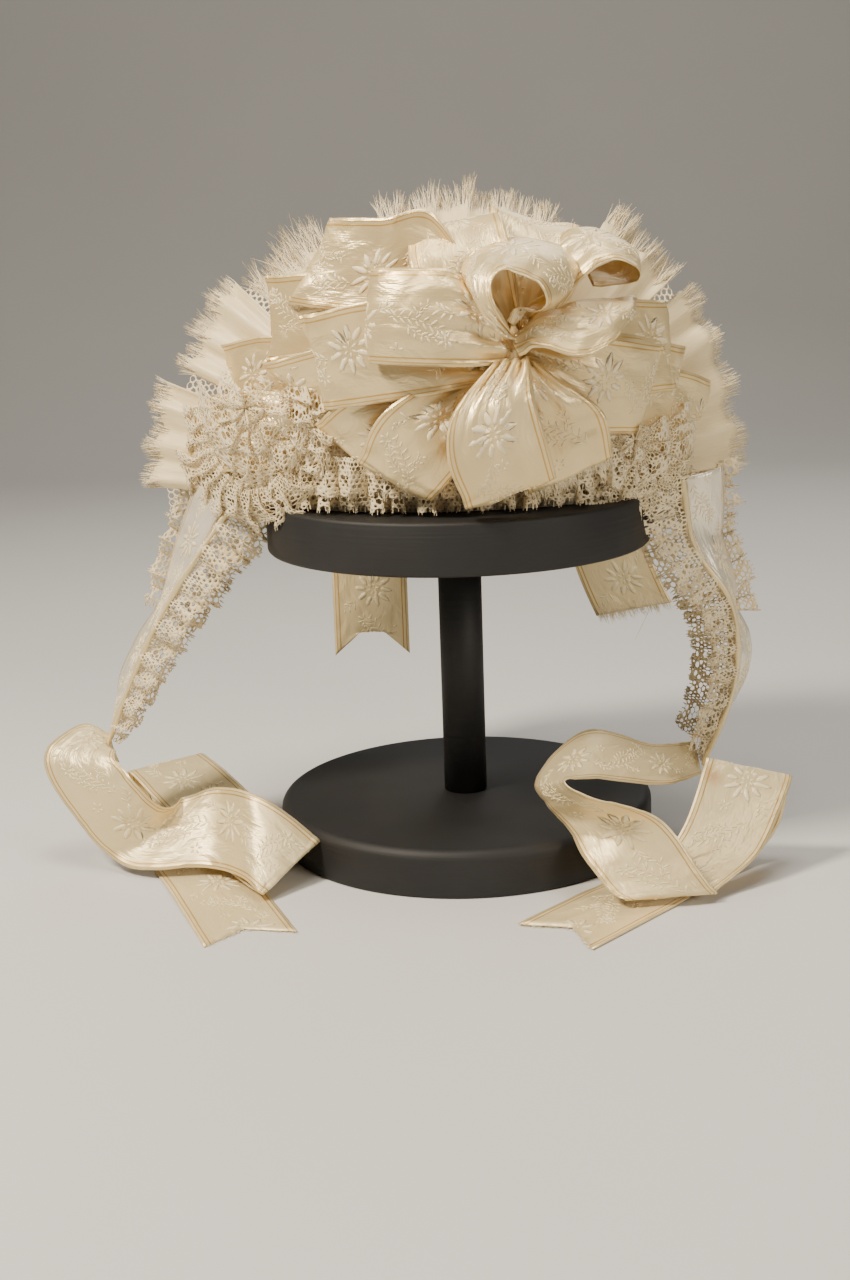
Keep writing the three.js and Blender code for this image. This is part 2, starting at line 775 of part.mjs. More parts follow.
const TIE_LEFT = [
  [0.0, -0.02, 1.28, 0.35, -0.7, -0.6, 0.45],
  [-0.16, -0.2, 1.46, 0.75, -0.55, -0.3, 0.7],
  [-0.3, -0.46, 1.28, 0.93, -0.36, 0.05],
  [-0.02, -0.72, 0.9, 0.8, -0.3, 0.5],
  [0.34, -0.68, 0.46, 0.78, 0.0, 0.6, 0.9],
  [0.74, -0.66, 0.42, 0.25, 0.75, 0.6],
  [1.24, -0.72, 0.5, 0.05, 0.64, 0.76],
  [1.74, -1.24, 0.56, 0.1, 0.6, 0.8],
  [2.14, -1.46, 0.34, 0.5, 0.7, 0.4],
  [2.16, -1.34, 0.24, 0.6, 0.75, 0.35],
  [1.6, -0.5, 0.28, 0.7, 0.6, 0.25],
  [0.9, 0.7, 0.42, 0.8, 0.5, 0.15],
  [0.34, 1.5, 0.6, 0.86, 0.45, 0.1],
  [0.28, 1.68, 0.4, 0.87, 0.44, 0.06],
  [0.34, 1.3, 0.1, 0.88, 0.42, 0.0],
  [0.6, 0.4, 0.0, 0.92, 0.39, 0.0],
  [1.2, -1.06, 0.0, 0.92, 0.39, 0.0],
  [1.9, -2.82, 0.0, 0.94, 0.33, 0.0],
];
const TIE_RIGHT = [
  [0.1, 0.14, 0.95, 0.1, -0.75, -0.6, 0.45],
  [-0.5, -0.62, 1.14, 0.15, -0.85, -0.45, 0.7],
  [-1.3, -1.14, 1.44, 0.0, -0.97, -0.24],
  [-1.74, -1.44, 1.26, 0.27, -0.94, 0.22],
  [-1.54, -1.66, 1.06, 0.47, -0.82, 0.32],
  [-1.16, -1.7, 0.84, 0.75, -0.5, 0.42],
  [-0.9, -1.9, 0.58, 0.94, -0.05, 0.33],
  [-0.66, -2.06, 0.26, 0.98, 0.08, 0.15],
  [-0.5, -2.1, 0.12, 0.99, 0.13, 0.0],
  [-0.46, -1.98, 0.12, 0.99, 0.13, 0.0],
  [0.1, -1.56, 0.5, 0.93, 0.22, -0.28],
  [0.48, -1.02, 1.08, 0.97, 0.0, -0.25],
  [0.52, -0.84, 1.1, 0.97, 0.0, -0.25],
  [0.42, -0.64, 0.5, 0.92, -0.3, -0.16],
  [0.16, -0.66, 0.1, 0.8, -0.6, 0.0],
  [-0.5, -1.38, 0.0, 0.73, -0.68, 0.0],
  [-1.8, -2.82, 0.0, 0.73, -0.68, 0.0],
];
const SWALLOWTAIL = 0.3;

// A ribbon's surface whose far end is cut to a swallowtail, `notch` ribbon widths deep.
function swallowtailed(surface, notch) {
  return (u, v) => {
    const last = surface(1, v);
    const before = surface(0.97, v);
    const back = (1 - 2 * Math.abs(v - 0.5)) * notch * RIBBON_WIDTH;
    const share = Math.max(0, u - 0.9) / 0.1;
    const heading = last.clone().sub(before).normalize();
    return surface(u, v).addScaledVector(heading, -back * share);
  };
}
const TIE_CELLS_A_STATION = 3;
const addTie = (name, foot, side, rows) =>
  addCloth(
    name,
    IVORY,
    swallowtailed(ribbonSurface(trailingRibbon(foot, side, rows)), SWALLOWTAIL),
    (rows.length - 1) * TIE_CELLS_A_STATION,
    2,
    TIE_CELLS_A_STATION,
  );
addTie("tie_left", LAPPET_LEFT, -1, TIE_LEFT);
addTie("tie_right", LAPPET_RIGHT, 1, TIE_RIGHT);

// Back: two ribbon ends that hang behind the disc, and a plain gathered net frill round the crown
const TAILS = [
  { name: "tail_swallow", right: -0.48, foot: 67, slant: 0, notch: 0.45 },
  { name: "tail_frayed", right: 0.68, foot: 86, slant: 24, notch: 0 },
];
const TAIL_HEAD_RISE = LACE_WIDTH * 0.9;
const TAIL_HANGS_OFF = 13;
for (const { name, right, foot, slant, notch } of TAILS) {
  const nearest = Math.abs(right) * CROWN_HALF_WIDTH - RIBBON_WIDTH / 2;
  const share = Math.hypot(nearest / CROWN_HALF_WIDTH, TAIL_HEAD_RISE / CROWN_RISE);
  const rear = CROWN_SETBACK + CROWN_HALF_DEPTH * Math.sqrt(1 - share * share);
  const hung = (u, v) =>
    vector(
      right * CROWN_HALF_WIDTH + (v - 0.5) * RIBBON_WIDTH + slant * u * u,
      rear + mix(CLOTH / 2, TAIL_HANGS_OFF, Math.min(1, 4 * u)),
      mix(CROWN_FOOT + TAIL_HEAD_RISE, foot, u) + (slant / 4) * v * u,
    );
  addCloth(name, IVORY, notch ? swallowtailed(hung, notch) : hung, 8, 2);
}

// Columns: clock on the crown in degrees, reach past the crown's outline in FRINGE_REACH.
const FRILL_REACH = [
  [0, 0.8],
  [30, 0.76],
  [46, 0.84],
  [60, 0.5],
  [90, 0.34],
  [119, 0.32],
  [135, 0.72],
  [160, 0.95],
  [180, 1.08],
];
const FRILL = { from: -5, to: 185, seam: 84, setback: 16, gathers: 16, depth: 2 };
function reachAt(clock) {
  const k = FRILL_REACH.findIndex(([next]) => next >= clock);
  const [beforeClock, before] = FRILL_REACH[k - 1];
  const [nextClock, next] = FRILL_REACH[k];
  return mix(before, next, (clock - beforeClock) / (nextClock - beforeClock));
}
function netFrill(u, v) {
  const clock = mix(FRILL.to, FRILL.from, u);
  const held = THREE.MathUtils.clamp(clock, 1, 179);
  const root = onCrown(held, FRILL.seam, CLOTH / 2 + GAP);
  const edge = onCrown(clock, 90, reachAt(held) * FRINGE_REACH);
  edge.y = CROWN_SETBACK + FRILL.setback;
  const wave = FRILL.depth * Math.sin(2 * Math.PI * FRILL.gathers * u) * v;
  return root.lerp(edge, v).add(vector(0, wave, 0));
}
addCloth("net_frill", LACE_CREAM, netFrill, FRILL.gathers * 3, 1);

const BACK_LACE = { half: 78, gathers: 14, foot: 1.2 };
const backRise = BACK_LACE.foot + LACE_WIDTH * BRIM_SHARE;
const backShare = Math.sqrt(1 - (backRise / CROWN_RISE) ** 2);
function backLaceHeading(u) {
  const around = radians(mix(90 + BACK_LACE.half, 90 - BACK_LACE.half, u));
  return vector(
    CROWN_HALF_WIDTH * backShare * Math.cos(around),
    CROWN_SETBACK + CROWN_HALF_DEPTH * backShare * Math.sin(around),
    CROWN_FOOT + backRise,
  );
}
const backOut = (u) => backLaceHeading(u).setZ(0).sub(vector(0, CROWN_SETBACK, 0)).normalize();
const backLace = gatheredLace({
  heading: backLaceHeading,
  fall: (u) => backOut(u).multiplyScalar(0.3).add(vector(0, 0, -1)).normalize(),
  out: backOut,
  width: () => LACE_WIDTH * BRIM_SHARE,
  gathers: BACK_LACE.gathers,
  depth: BRIM_GATHER_DEPTH,
});
addCloth("back_lace", LACE_CREAM, backLace, BACK_LACE.gathers * CELLS_A_GATHER, 1);

const bonnet = new THREE.Group();
for (const { name, colour, roughness, solid } of pieces) {
  const material = new THREE.MeshStandardMaterial({ color: colour, roughness, metalness: 0 });
  const mesh = new THREE.Mesh(geometryOf(solid), material);
  mesh.name = name;
  bonnet.add(mesh);
}

export default bonnet;
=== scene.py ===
"""A nineteenth-century bonnet of net, lace and silk ribbon on its turned display stand.

The pieces are worked out in millimetres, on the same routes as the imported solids, and become
metres when a mesh is made. u runs along a cloth and v across it, both from 0 to 1.
"""
import math

import bpy
import numpy as np
from mathutils import Matrix


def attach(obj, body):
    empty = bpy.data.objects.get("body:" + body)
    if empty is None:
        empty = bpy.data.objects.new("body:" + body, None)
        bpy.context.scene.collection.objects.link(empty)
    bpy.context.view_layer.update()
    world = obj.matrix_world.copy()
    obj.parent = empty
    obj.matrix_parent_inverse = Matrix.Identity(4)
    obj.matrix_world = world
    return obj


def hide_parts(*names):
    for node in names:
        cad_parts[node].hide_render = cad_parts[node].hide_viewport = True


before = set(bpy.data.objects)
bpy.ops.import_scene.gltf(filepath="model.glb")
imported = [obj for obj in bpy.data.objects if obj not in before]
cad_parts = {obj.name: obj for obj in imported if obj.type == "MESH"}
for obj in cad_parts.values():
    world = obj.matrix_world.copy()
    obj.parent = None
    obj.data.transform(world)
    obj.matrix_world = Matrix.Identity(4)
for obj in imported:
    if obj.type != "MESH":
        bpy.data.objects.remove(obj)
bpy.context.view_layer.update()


# Camera: level with the disc and a little above it, as the stand's ellipses in the photograph say.
FOCAL_PIXELS = 1691.3
PHOTO_PIXELS_HIGH = 1280
CAMERA_PLACE = (0.0, -0.789, 0.2854)
SENSOR_HIGH = 36
CAMERA_PITCH, CAMERA_YAW, CAMERA_ROLL = np.radians([13.45, -1.27, -2.0])

looks = np.array(
    [
        math.sin(CAMERA_YAW) * math.cos(CAMERA_PITCH),
        math.cos(CAMERA_YAW) * math.cos(CAMERA_PITCH),
        -math.sin(CAMERA_PITCH),
    ]
)
level = np.cross(looks, [0, 0, 1])
level /= np.linalg.norm(level)
upright = np.cross(level, looks)
right = math.cos(CAMERA_ROLL) * level + math.sin(CAMERA_ROLL) * upright
up = math.cos(CAMERA_ROLL) * upright - math.sin(CAMERA_ROLL) * level

camera_data = bpy.data.cameras.new("camera")
camera_data.sensor_fit = "VERTICAL"
camera_data.sensor_height = SENSOR_HIGH
camera_data.lens = SENSOR_HIGH * FOCAL_PIXELS / PHOTO_PIXELS_HIGH
camera = bpy.data.objects.new("camera", camera_data)
turned = Matrix.Identity(4)
for row in range(3):
    turned[row][0], turned[row][1], turned[row][2] = right[row], up[row], -looks[row]
    turned[row][3] = CAMERA_PLACE[row]
camera.matrix_world = turned
bpy.context.collection.objects.link(camera)
bpy.context.scene.camera = camera


# Studio: a pale table under four soft lamps, the strongest in front on the left.
LAMPS = (
    # name, place in metres, size in metres, watts, colour
    ("key_lamp", (-0.7, -0.5, 1.05), 0.24, 26.0, "#FFF1DC"),
    ("top_lamp", (0.05, -0.2, 1.35), 0.5, 9.0, "#FFF6E8"),
    ("fill_lamp", (0.95, -0.95, 0.62), 0.4, 7.5, "#FFF4E4"),
    ("back_lamp", (0.4, 0.9, 1.1), 0.8, 5.0, "#FFFFFF"),
)
LAMPS_AIM = (0.0, 0.0, 0.2)
AIR_COLOUR, AIR_STRENGTH = "#E8E8E8", 0.1
TABLE_HALF_WIDTH = 5.0
BACKDROP_HEIGHT = 3.0
SWEEP_START = 1.3
SWEEP_RADIUS = 0.9


def linear(colour):
    """The linear red, green, blue and 1 of an sRGB hex colour."""
    shares = np.array([int(colour[k : k + 2], 16) for k in (1, 3, 5)]) / 255
    curved = np.where(shares <= 0.04045, shares / 12.92, ((shares + 0.055) / 1.055) ** 2.4)
    return (*curved.tolist(), 1.0)


def wire(tree, made, inputs):
    """Gives a node's inputs, by name or number, values or links from other nodes' outputs."""
    for key, value in dict(inputs).items():
        if isinstance(value, bpy.types.NodeSocket):
            tree.links.new(value, made.inputs[key])
        else:
            made.inputs[key].default_value = value


def node(tree, kind, inputs=(), **settings):
    """Adds a node, with its settings first and then its inputs."""
    made = tree.nodes.new(kind)
    for name, value in settings.items():
        setattr(made, name, value)
    wire(tree, made, inputs)
    return made


def new_material(name, **shader):
    """A material with one principled shader, whose sockets take the given values."""
    made = bpy.data.materials.new(name)
    made.use_nodes = True
    principled = made.node_tree.nodes["Principled BSDF"]
    for socket, value in shader.items():
        principled.inputs[socket.replace("_", " ")].default_value = value
    return made, made.node_tree, principled


def mottled(name, one, other, scale, detail, **shader):
    """A material of two colours mixed by a noise of the given scale in object coordinates."""
    made, tree, principled = new_material(name, **shader)
    place = node(tree, "ShaderNodeTexCoord").outputs["Object"]
    noise = node(tree, "ShaderNodeTexNoise", {"Vector": place, "Scale": scale, "Detail": detail})
    tones = {0: noise.outputs[0], "A": linear(one), "B": linear(other)}
    tint = node(tree, "ShaderNodeMix", tones, data_type="RGBA")
    wire(tree, principled, {"Base Color": tint.outputs["Result"]})
    return made, tree, principled, place


for name, place, size, watts, colour in LAMPS:
    lamp_data = bpy.data.lights.new(name, "AREA")
    lamp_data.size = size
    lamp_data.energy = watts
    lamp_data.color = linear(colour)[:3]
    lamp = bpy.data.objects.new(name, lamp_data)
    aim = np.array(LAMPS_AIM) - np.array(place)
    aim /= np.linalg.norm(aim)
    side = np.cross(aim, [0, 0, 1])
    side /= np.linalg.norm(side)
    facing = np.column_stack([side, np.cross(side, aim), -aim])
    lamp.matrix_world = Matrix.Translation(place) @ Matrix(facing.tolist()).to_4x4()
    bpy.context.collection.objects.link(lamp)

world = bpy.data.worlds.new("studio_air")
world.use_nodes = True
background = world.node_tree.nodes["Background"]
wire(world.node_tree, background, {"Color": linear(AIR_COLOUR), "Strength": AIR_STRENGTH})
bpy.context.scene.world = world

# Painted table: matt, with a faint mottle so that it isn't dead flat.
table_paint, *_ = mottled("matt_table_paint", "#C9C9C7", "#CFCFCD", 4.0, 3.0, Roughness=0.85)

table_mesh = bpy.data.meshes.new("table")
rise = np.radians(np.linspace(0, 90, 25))
bend = SWEEP_START + SWEEP_RADIUS * np.sin(rise)
sweep_y = np.concatenate([[-TABLE_HALF_WIDTH], bend, [SWEEP_START + SWEEP_RADIUS]])
sweep_z = np.concatenate([[0.0], SWEEP_RADIUS * (1 - np.cos(rise)), [BACKDROP_HEIGHT]])
sweep = np.array([[side * TABLE_HALF_WIDTH, y, z] for y, z in zip(sweep_y, sweep_z) for side in (-1, 1)])
rows = 2 * np.arange(len(sweep_y) - 1)[:, None]
table_mesh.from_pydata(sweep.tolist(), [], (rows + [0, 1, 3, 2]).tolist())
table_mesh.shade_smooth()
table_mesh.materials.append(table_paint)
table = bpy.data.objects.new("table", table_mesh)
bpy.context.collection.objects.link(table)


# Display stand: a base, a post and a disc of turned softwood, glued together and painted dull black
# with a brush. The paint shows its strokes round the edges and lies a little unevenly.
DISC_RADIUS = 90.0
BASE_THICKNESS = 22.0
POST_COLLAR = 1.0
BASE_EDGE = 5.0
BASE_FOOT_EDGE = 1.2
DISC_THICKNESS = 23.5
DISC_EDGE = 1.5
POST_RADIUS = 10.3
STAND_HEIGHT = 168.0
GAP = 0.35
TURNED_SIDES = 160


def grid_faces(rows, columns, close_columns=False):
    """Quads over a grid of rows by columns points, whose columns may close into rings."""
    i = np.arange(rows - 1)[:, None] * columns
    j = np.arange(columns if close_columns else columns - 1)[None, :]
    after = (j + 1) % columns
    return np.stack([i + j, i + columns + j, i + columns + after, i + after], -1).reshape(-1, 4)


def put_piece(name, parts, materials, replaces=()):
    """Makes a mesh piece from parts: points in mm, arrays of faces, uv of the points or None, and
    the number of the material."""
    mesh = bpy.data.meshes.new(name)
    points, faces, uvs, wears, start = [], [], [], [], 0
    for part_points, part_faces, part_uv, wear in parts:
        points.append(part_points)
        uvs.append(part_points[:, :2] * 0 if part_uv is None else part_uv)
        for some in part_faces:
            faces.append(some + start)
            wears.append(np.full(len(some), wear))
        start += len(part_points)
    points, uvs, wears = np.concatenate(points), np.concatenate(uvs), np.concatenate(wears)
    corners = np.concatenate([part.ravel() for part in faces])
    sizes = np.concatenate([np.full(len(part), part.shape[1]) for part in faces])
    mesh.vertices.add(len(points))
    mesh.vertices.foreach_set("co", (points * 0.001).astype(np.float32).ravel())
    mesh.loops.add(len(corners))
    mesh.loops.foreach_set("vertex_index", corners.astype(np.int32))
    mesh.polygons.add(len(sizes))
    mesh.polygons.foreach_set("loop_start", (np.cumsum(sizes) - sizes).astype(np.int32))
    mesh.update(calc_edges=True)
    mesh.polygons.foreach_set("use_smooth", np.ones(len(sizes), bool))
    mesh.polygons.foreach_set("material_index", wears.astype(np.int32))
    layer = mesh.uv_layers.new(name="cloth")
    layer.data.foreach_set("uv", uvs[corners].astype(np.float32).ravel())
    for material in materials:
        mesh.materials.append(material)
    mesh.validate()
    piece = bpy.data.objects.new(name, mesh)
    bpy.context.collection.objects.link(piece)
    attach(piece, "root")
    if replaces:
        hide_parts(*replaces)
    return piece


def turned_body(profile):
    """Carries a profile of (radius, height) points round the upright axis; both ends lie on it."""
    radius, height = np.array(profile, float).T
    turn = np.linspace(0, 2 * np.pi, TURNED_SIDES, endpoint=False)
    ring = np.stack(
        [
            radius[1:-1, None] * np.cos(turn),
            radius[1:-1, None] * np.sin(turn),
            np.repeat(height[1:-1, None], TURNED_SIDES, 1),
        ],
        -1,
    )
    rows = len(radius) - 2
    points = np.vstack([ring.reshape(-1, 3), [0, 0, height[0]], [0, 0, height[-1]]])
    sides = grid_faces(rows, TURNED_SIDES, close_columns=True)[:, ::-1]
    around = np.arange(TURNED_SIDES)
    after = (around + 1) % TURNED_SIDES
    foot, head = rows * TURNED_SIDES, rows * TURNED_SIDES + 1
    last = (rows - 1) * TURNED_SIDES
    lower = np.stack([after, around, np.full_like(around, foot)], -1)
    upper = np.stack([last + around, last + after, np.full_like(around, head)], -1)
    return points, [sides, lower, upper], None, 0


def rounded(radius, height, edge, from_degrees, to_degrees, steps=7):
    """Points of a quarter round of size edge whose outermost radius and height are given."""
    turn = np.radians(np.linspace(from_degrees, to_degrees, steps))
    middle = height - math.copysign(edge, math.sin(turn[len(turn) // 2]))
    return [(radius - edge + edge * math.cos(t), middle + edge * math.sin(t)) for t in turn]


def turned_piece(name, profile):
    """A piece of the stand from its profile."""
    put_piece(name + "_painted", [turned_body(profile)], [black_paint], [name])


# Dull black paint on wood: strokes drawn out round the turning, and patches worn a little paler.
black_paint, tree, shader, place = mottled(
    "brushed_black_paint_on_wood", "#0E0E0F", "#212122", 38.0, 4.0, Roughness=0.62
)
stretch = node(tree, "ShaderNodeMapping", {"Vector": place, "Scale": (18, 18, 620)})
strokes = node(tree, "ShaderNodeTexNoise", {"Vector": stretch.outputs[0], "Scale": 1.0, "Detail": 5.0})
relief = node(tree, "ShaderNodeBump", {"Strength": 0.35, "Distance": 0.0006, "Height": strokes.outputs[0]})
wire(tree, shader, {"Normal": relief.outputs[0]})

disc_foot = STAND_HEIGHT - DISC_THICKNESS
turned_piece(
    "stand_base",
    [
        (0, 0),
        *rounded(DISC_RADIUS, 0, BASE_FOOT_EDGE, -90, 0, 4),
        *rounded(DISC_RADIUS, BASE_THICKNESS, BASE_EDGE, 0, 90),
        (POST_RADIUS + POST_COLLAR, BASE_THICKNESS),
        (0, BASE_THICKNESS),
    ],
)
turned_piece(
    "stand_post",
    [
        (0, BASE_THICKNESS + GAP),
        (POST_RADIUS, BASE_THICKNESS + GAP),
        (POST_RADIUS, disc_foot / 2 + BASE_THICKNESS / 2),
        (POST_RADIUS, disc_foot - GAP),
        (0, disc_foot - GAP),
    ],
)
turned_piece(
    "stand_disc",
    [
        (0, disc_foot),
        *rounded(DISC_RADIUS, disc_foot, DISC_EDGE, -90, 0, 4),
        *rounded(DISC_RADIUS, STAND_HEIGHT, DISC_EDGE, 0, 90, 4),
        (DISC_RADIUS / 2, STAND_HEIGHT),
        (0, STAND_HEIGHT),
    ],
)


# Crown: a hollow half egg of cotton net over a few covered wires, on which all else is sewn.
# Only its back and the places between the frills show.
CROWN_HALF_WIDTH = 100.0
CROWN_HALF_DEPTH = 74.0
CROWN_RISE = 115.0
CROWN_SETBACK = 12.0
CROWN_WALL = 1.5
CROWN_FOOT = STAND_HEIGHT + GAP
NET_MESH = 1.9


def crown_front(x, z):
    """How far back the crown's front is at a place seen from the front, the ellipsoid's depth."""
    rise = np.maximum(0, z - CROWN_FOOT) / CROWN_RISE
    depth = np.sqrt(np.maximum(0, 1 - (x / CROWN_HALF_WIDTH) ** 2 - rise**2))
    return CROWN_SETBACK - CROWN_HALF_DEPTH * depth


def trim_front(x, z):
    """A bowl that lies on the crown's front in the middle and stays before it at the sides."""
    rise = (z - CROWN_FOOT) / CROWN_RISE - 0.32
    return CROWN_SETBACK - CROWN_HALF_DEPTH * (1 - 0.61 * (x / CROWN_HALF_WIDTH) ** 2 - 0.8 * rise**2)


def on_crown(clock, tip, off):
    """Places off the crown: clock 0 is right and 90 the top, tip 0 the front and 90 the outline."""
    clock, tip = np.radians(clock), np.radians(tip)
    ways = [np.sin(tip) * np.cos(clock), -np.cos(tip) + 0 * clock, np.sin(tip) * np.sin(clock)]
    unit = np.stack(ways, -1)
    halves = np.array([CROWN_HALF_WIDTH, CROWN_HALF_DEPTH, CROWN_RISE])
    normal = unit / halves
    normal /= np.linalg.norm(normal, axis=-1, keepdims=True)
    middle = np.array([0, CROWN_SETBACK, CROWN_FOOT])
    return middle + unit * halves + normal * np.asarray(off)[..., None]


def ellipsoid_rows(shrink, rings, sides):
    """Rings of the half ellipsoid from its foot to near its top, shrunk by a wall."""
    rise = np.linspace(0, np.pi / 2, rings)[:-1, None]
    turn = np.linspace(0, 2 * np.pi, sides, endpoint=False)[None, :]
    return np.stack(
        [
            (CROWN_HALF_WIDTH - shrink) * np.cos(rise) * np.cos(turn),
            CROWN_SETBACK + (CROWN_HALF_DEPTH - shrink) * np.cos(rise) * np.sin(turn),
            CROWN_FOOT + (CROWN_RISE - shrink) * np.sin(rise) + 0 * turn,
        ],
        -1,
    )


# Cotton net: stiffened and matt, with its meshes drawn 1.9 mm wide, coarser than real, to show. The
# threads are pale, and the middle of each mesh is painted a darker tan: painted shade for the shadowed
# hollow seen through the holes.
cotton_net, tree, shader = new_material("stiffened_cotton_net", Roughness=0.85, Sheen_Weight=0.25)
place = node(tree, "ShaderNodeTexCoord").outputs["Object"]
cells = node(
    tree,
    "ShaderNodeTexVoronoi",
    {"Vector": place, "Scale": 1000 / NET_MESH, "Randomness": 0.35},
    feature="DISTANCE_TO_EDGE",
)
# Pale threads, and painted shade in each mesh's middle for the hollow seen through it.
threads = node(tree, "ShaderNodeValToRGB", {"Fac": cells.outputs[0]})
threads.color_ramp.elements[0].position = 0.06
threads.color_ramp.elements[0].color = linear("#E6DABF")
threads.color_ramp.elements[1].position = 0.22
threads.color_ramp.elements[1].color = linear("#B9A883")
relief = node(
    tree, "ShaderNodeBump", {"Strength": 0.5, "Distance": 0.0004, "Height": cells.outputs[0]}, invert=True
)
wire(tree, shader, {"Base Color": threads.outputs[0], "Normal": relief.outputs[0]})

CROWN_RINGS, CROWN_SIDES = 36, 120
outer = ellipsoid_rows(0, CROWN_RINGS, CROWN_SIDES)
inner = ellipsoid_rows(CROWN_WALL, CROWN_RINGS, CROWN_SIDES)
count = outer.shape[0] * CROWN_SIDES
crown_points = np.vstack(
    [
        outer.reshape(-1, 3),
        inner.reshape(-1, 3),
        [0, CROWN_SETBACK, CROWN_FOOT + CROWN_RISE],
        [0, CROWN_SETBACK, CROWN_FOOT + CROWN_RISE - CROWN_WALL],
    ]
)
around = np.arange(CROWN_SIDES)
after = (around + 1) % CROWN_SIDES
ring = grid_faces(outer.shape[0], CROWN_SIDES, close_columns=True)
last = count - CROWN_SIDES
crown_quads = np.vstack(
    [ring[:, ::-1], ring + count, np.stack([around, count + around, count + after, after], -1)]
)
crown_caps = np.vstack(
    [
        np.stack([last + around, last + after, np.full_like(around, 2 * count)], -1),
        np.stack([count + last + after, count + last + around, np.full_like(around, 2 * count + 1)], -1),
    ]
)
crown = put_piece(
    "crown_net_dressed",
    [(crown_points, [crown_quads, crown_caps], None, 0)],
    [cotton_net],
    ["crown_net"],
)


# Bow: loops of brocade silk ribbon, each folded back and pinched at its root, sewn on the crown
# round one point. The satin ground shines, the woven flowers stand up, and the edges are corded gold.
RIBBON_WIDTH = 40.0
SILK = 0.45
KNOT_RIGHT = 24.0
KNOT_RISE = 70.0
KNOT_HEIGHT = CROWN_FOOT + KNOT_RISE
CLOTH_STEP = 1.8


def curve_through(stations, u):
    """The smooth curve through rows of numbers: each share u blends its four nearest rows with the
    uniform Catmull-Rom weights, and the ends are mirrored."""
    rows = np.vstack([2 * stations[0] - stations[1], stations, 2 * stations[-1] - stations[-2]])
    along = np.clip(u, 0, 1) * (len(stations) - 1)
    k = np.minimum(along.astype(int), len(stations) - 2)
    w = (along - k)[..., None]
    a, b, c, d = rows[k], rows[k + 1], rows[k + 2], rows[k + 3]
    return 0.5 * (
        2 * b + (c - a) * w + (2 * a - 5 * b + 4 * c - d) * w**2 + (3 * b - a - 3 * c + d) * w**3
    )


def unit(vectors):
    """Vectors of length 1."""
    return vectors / np.maximum(np.linalg.norm(vectors, axis=-1, keepdims=True), 1e-9)


def facing_of(surface, u, v):
    """A surface's normal, the cross product of its slopes along and across."""
    step = 2e-3
    along = surface(np.minimum(u + step, 1), v) - surface(np.maximum(u - step, 0), v)
    across = surface(u, np.minimum(v + step, 1)) - surface(u, np.maximum(v - step, 0))
    return unit(np.cross(along, across))


def crumple(s, t, depth, seed):
    """Soft creases: waves of 10 to 60 mm that cross and bend one another, placed by the seed."""
    a, b, c, d = np.random.default_rng(seed).uniform(0, 2 * np.pi, 4)
    bent = s + 4 * np.sin(t / 9 + d)
    broad = np.sin(bent / 8.5 + t / 13 + a)
    cross = np.sin(bent / 4.6 - t / 5.5 + b + 0.8 * broad)
    sharp = 1 - 2 * np.abs(np.sin(bent / 5.2 + t / 8 + c)) ** 0.6
    return depth * (0.5 * broad + 0.28 * cross + 0.22 * sharp * cross)


def length_of(surface, v=0.5, steps=200):
    """A surface's length along the middle, in mm, and the running length at even shares."""
    u = np.linspace(0, 1, steps + 1)
    points = surface(u, np.full_like(u, v))
    running = np.concatenate([[0], np.cumsum(np.linalg.norm(np.diff(points, axis=0), axis=1))])
    return running[-1], running


def cloth_sheet(surface, columns, rows, thickness, across=RIBBON_WIDTH, wear=0):
    """A closed thin wall on both sides of surface(u, v), with uv in millimetres / RIBBON_WIDTH."""
    u, v = np.meshgrid(np.linspace(0, 1, columns + 1), np.linspace(0, 1, rows + 1), indexing="ij")
    middle, normal = surface(u, v), facing_of(surface, u, v)
    length, running = length_of(surface)
    s = np.interp(u, np.linspace(0, 1, len(running)), running)
    count = u.size
    off = normal * thickness / 2
    points = np.vstack([(middle + off).reshape(-1, 3), (middle - off).reshape(-1, 3)])
    uv = np.stack([s / RIBBON_WIDTH, v * across / RIBBON_WIDTH], -1).reshape(-1, 2)
    face = grid_faces(columns + 1, rows + 1)
    index = np.arange(count).reshape(columns + 1, rows + 1)
    edge = np.concatenate([index[:-1, 0], index[-1, :-1], index[:0:-1, -1], index[0, :0:-1]])
    following = np.roll(edge, -1)
    rim = np.stack([edge, edge + count, following + count, following], -1)
    return points, [face, face[:, ::-1] + count, rim], np.vstack([uv, uv]), wear


# Brocade petals: columns are place along and across in mm from the motif's middle, heading in
# degrees, length and width in mm.
def petals_round(count, inner, length, width, offset=0.0, start=0.0):
    """Petals in a ring: even headings from the start to a full turn, each the inner radius out."""
    heading = np.linspace(start, 360, count, endpoint=False) + offset
    turn = np.radians(heading)
    middle = inner + length / 2
    return np.stack(
        [
            middle * np.cos(turn),
            middle * np.sin(turn),
            heading,
            np.full(count, float(length)),
            np.full(count, float(width)),
        ],
        -1,
    )


def leaves_along(count, length, width, reach, bend, heading):
    """Paired leaves up a stem that curves by bend degrees over its reach."""
    k = np.arange(count)
    turn = np.radians(heading + bend * k / count)
    steps = reach / count
    x, y = np.cumsum(np.cos(turn)) * steps, np.cumsum(np.sin(turn)) * steps
    pairs = []
    for hand in (-1, 1):
        lean = np.degrees(turn) + hand * 48
        pairs.append(
            np.stack(
                [
                    x + np.cos(np.radians(lean)) * length / 2,
                    y + np.sin(np.radians(lean)) * length / 2,
                    lean,
                    np.full(count, float(length)),
                    np.full(count, float(width)),
                ],
                -1,
            )
        )
    stem = np.stack([x, y, np.degrees(turn), np.full(count, steps * 1.1), np.full(count, 0.7)], -1)
    return np.vstack([*pairs, stem])


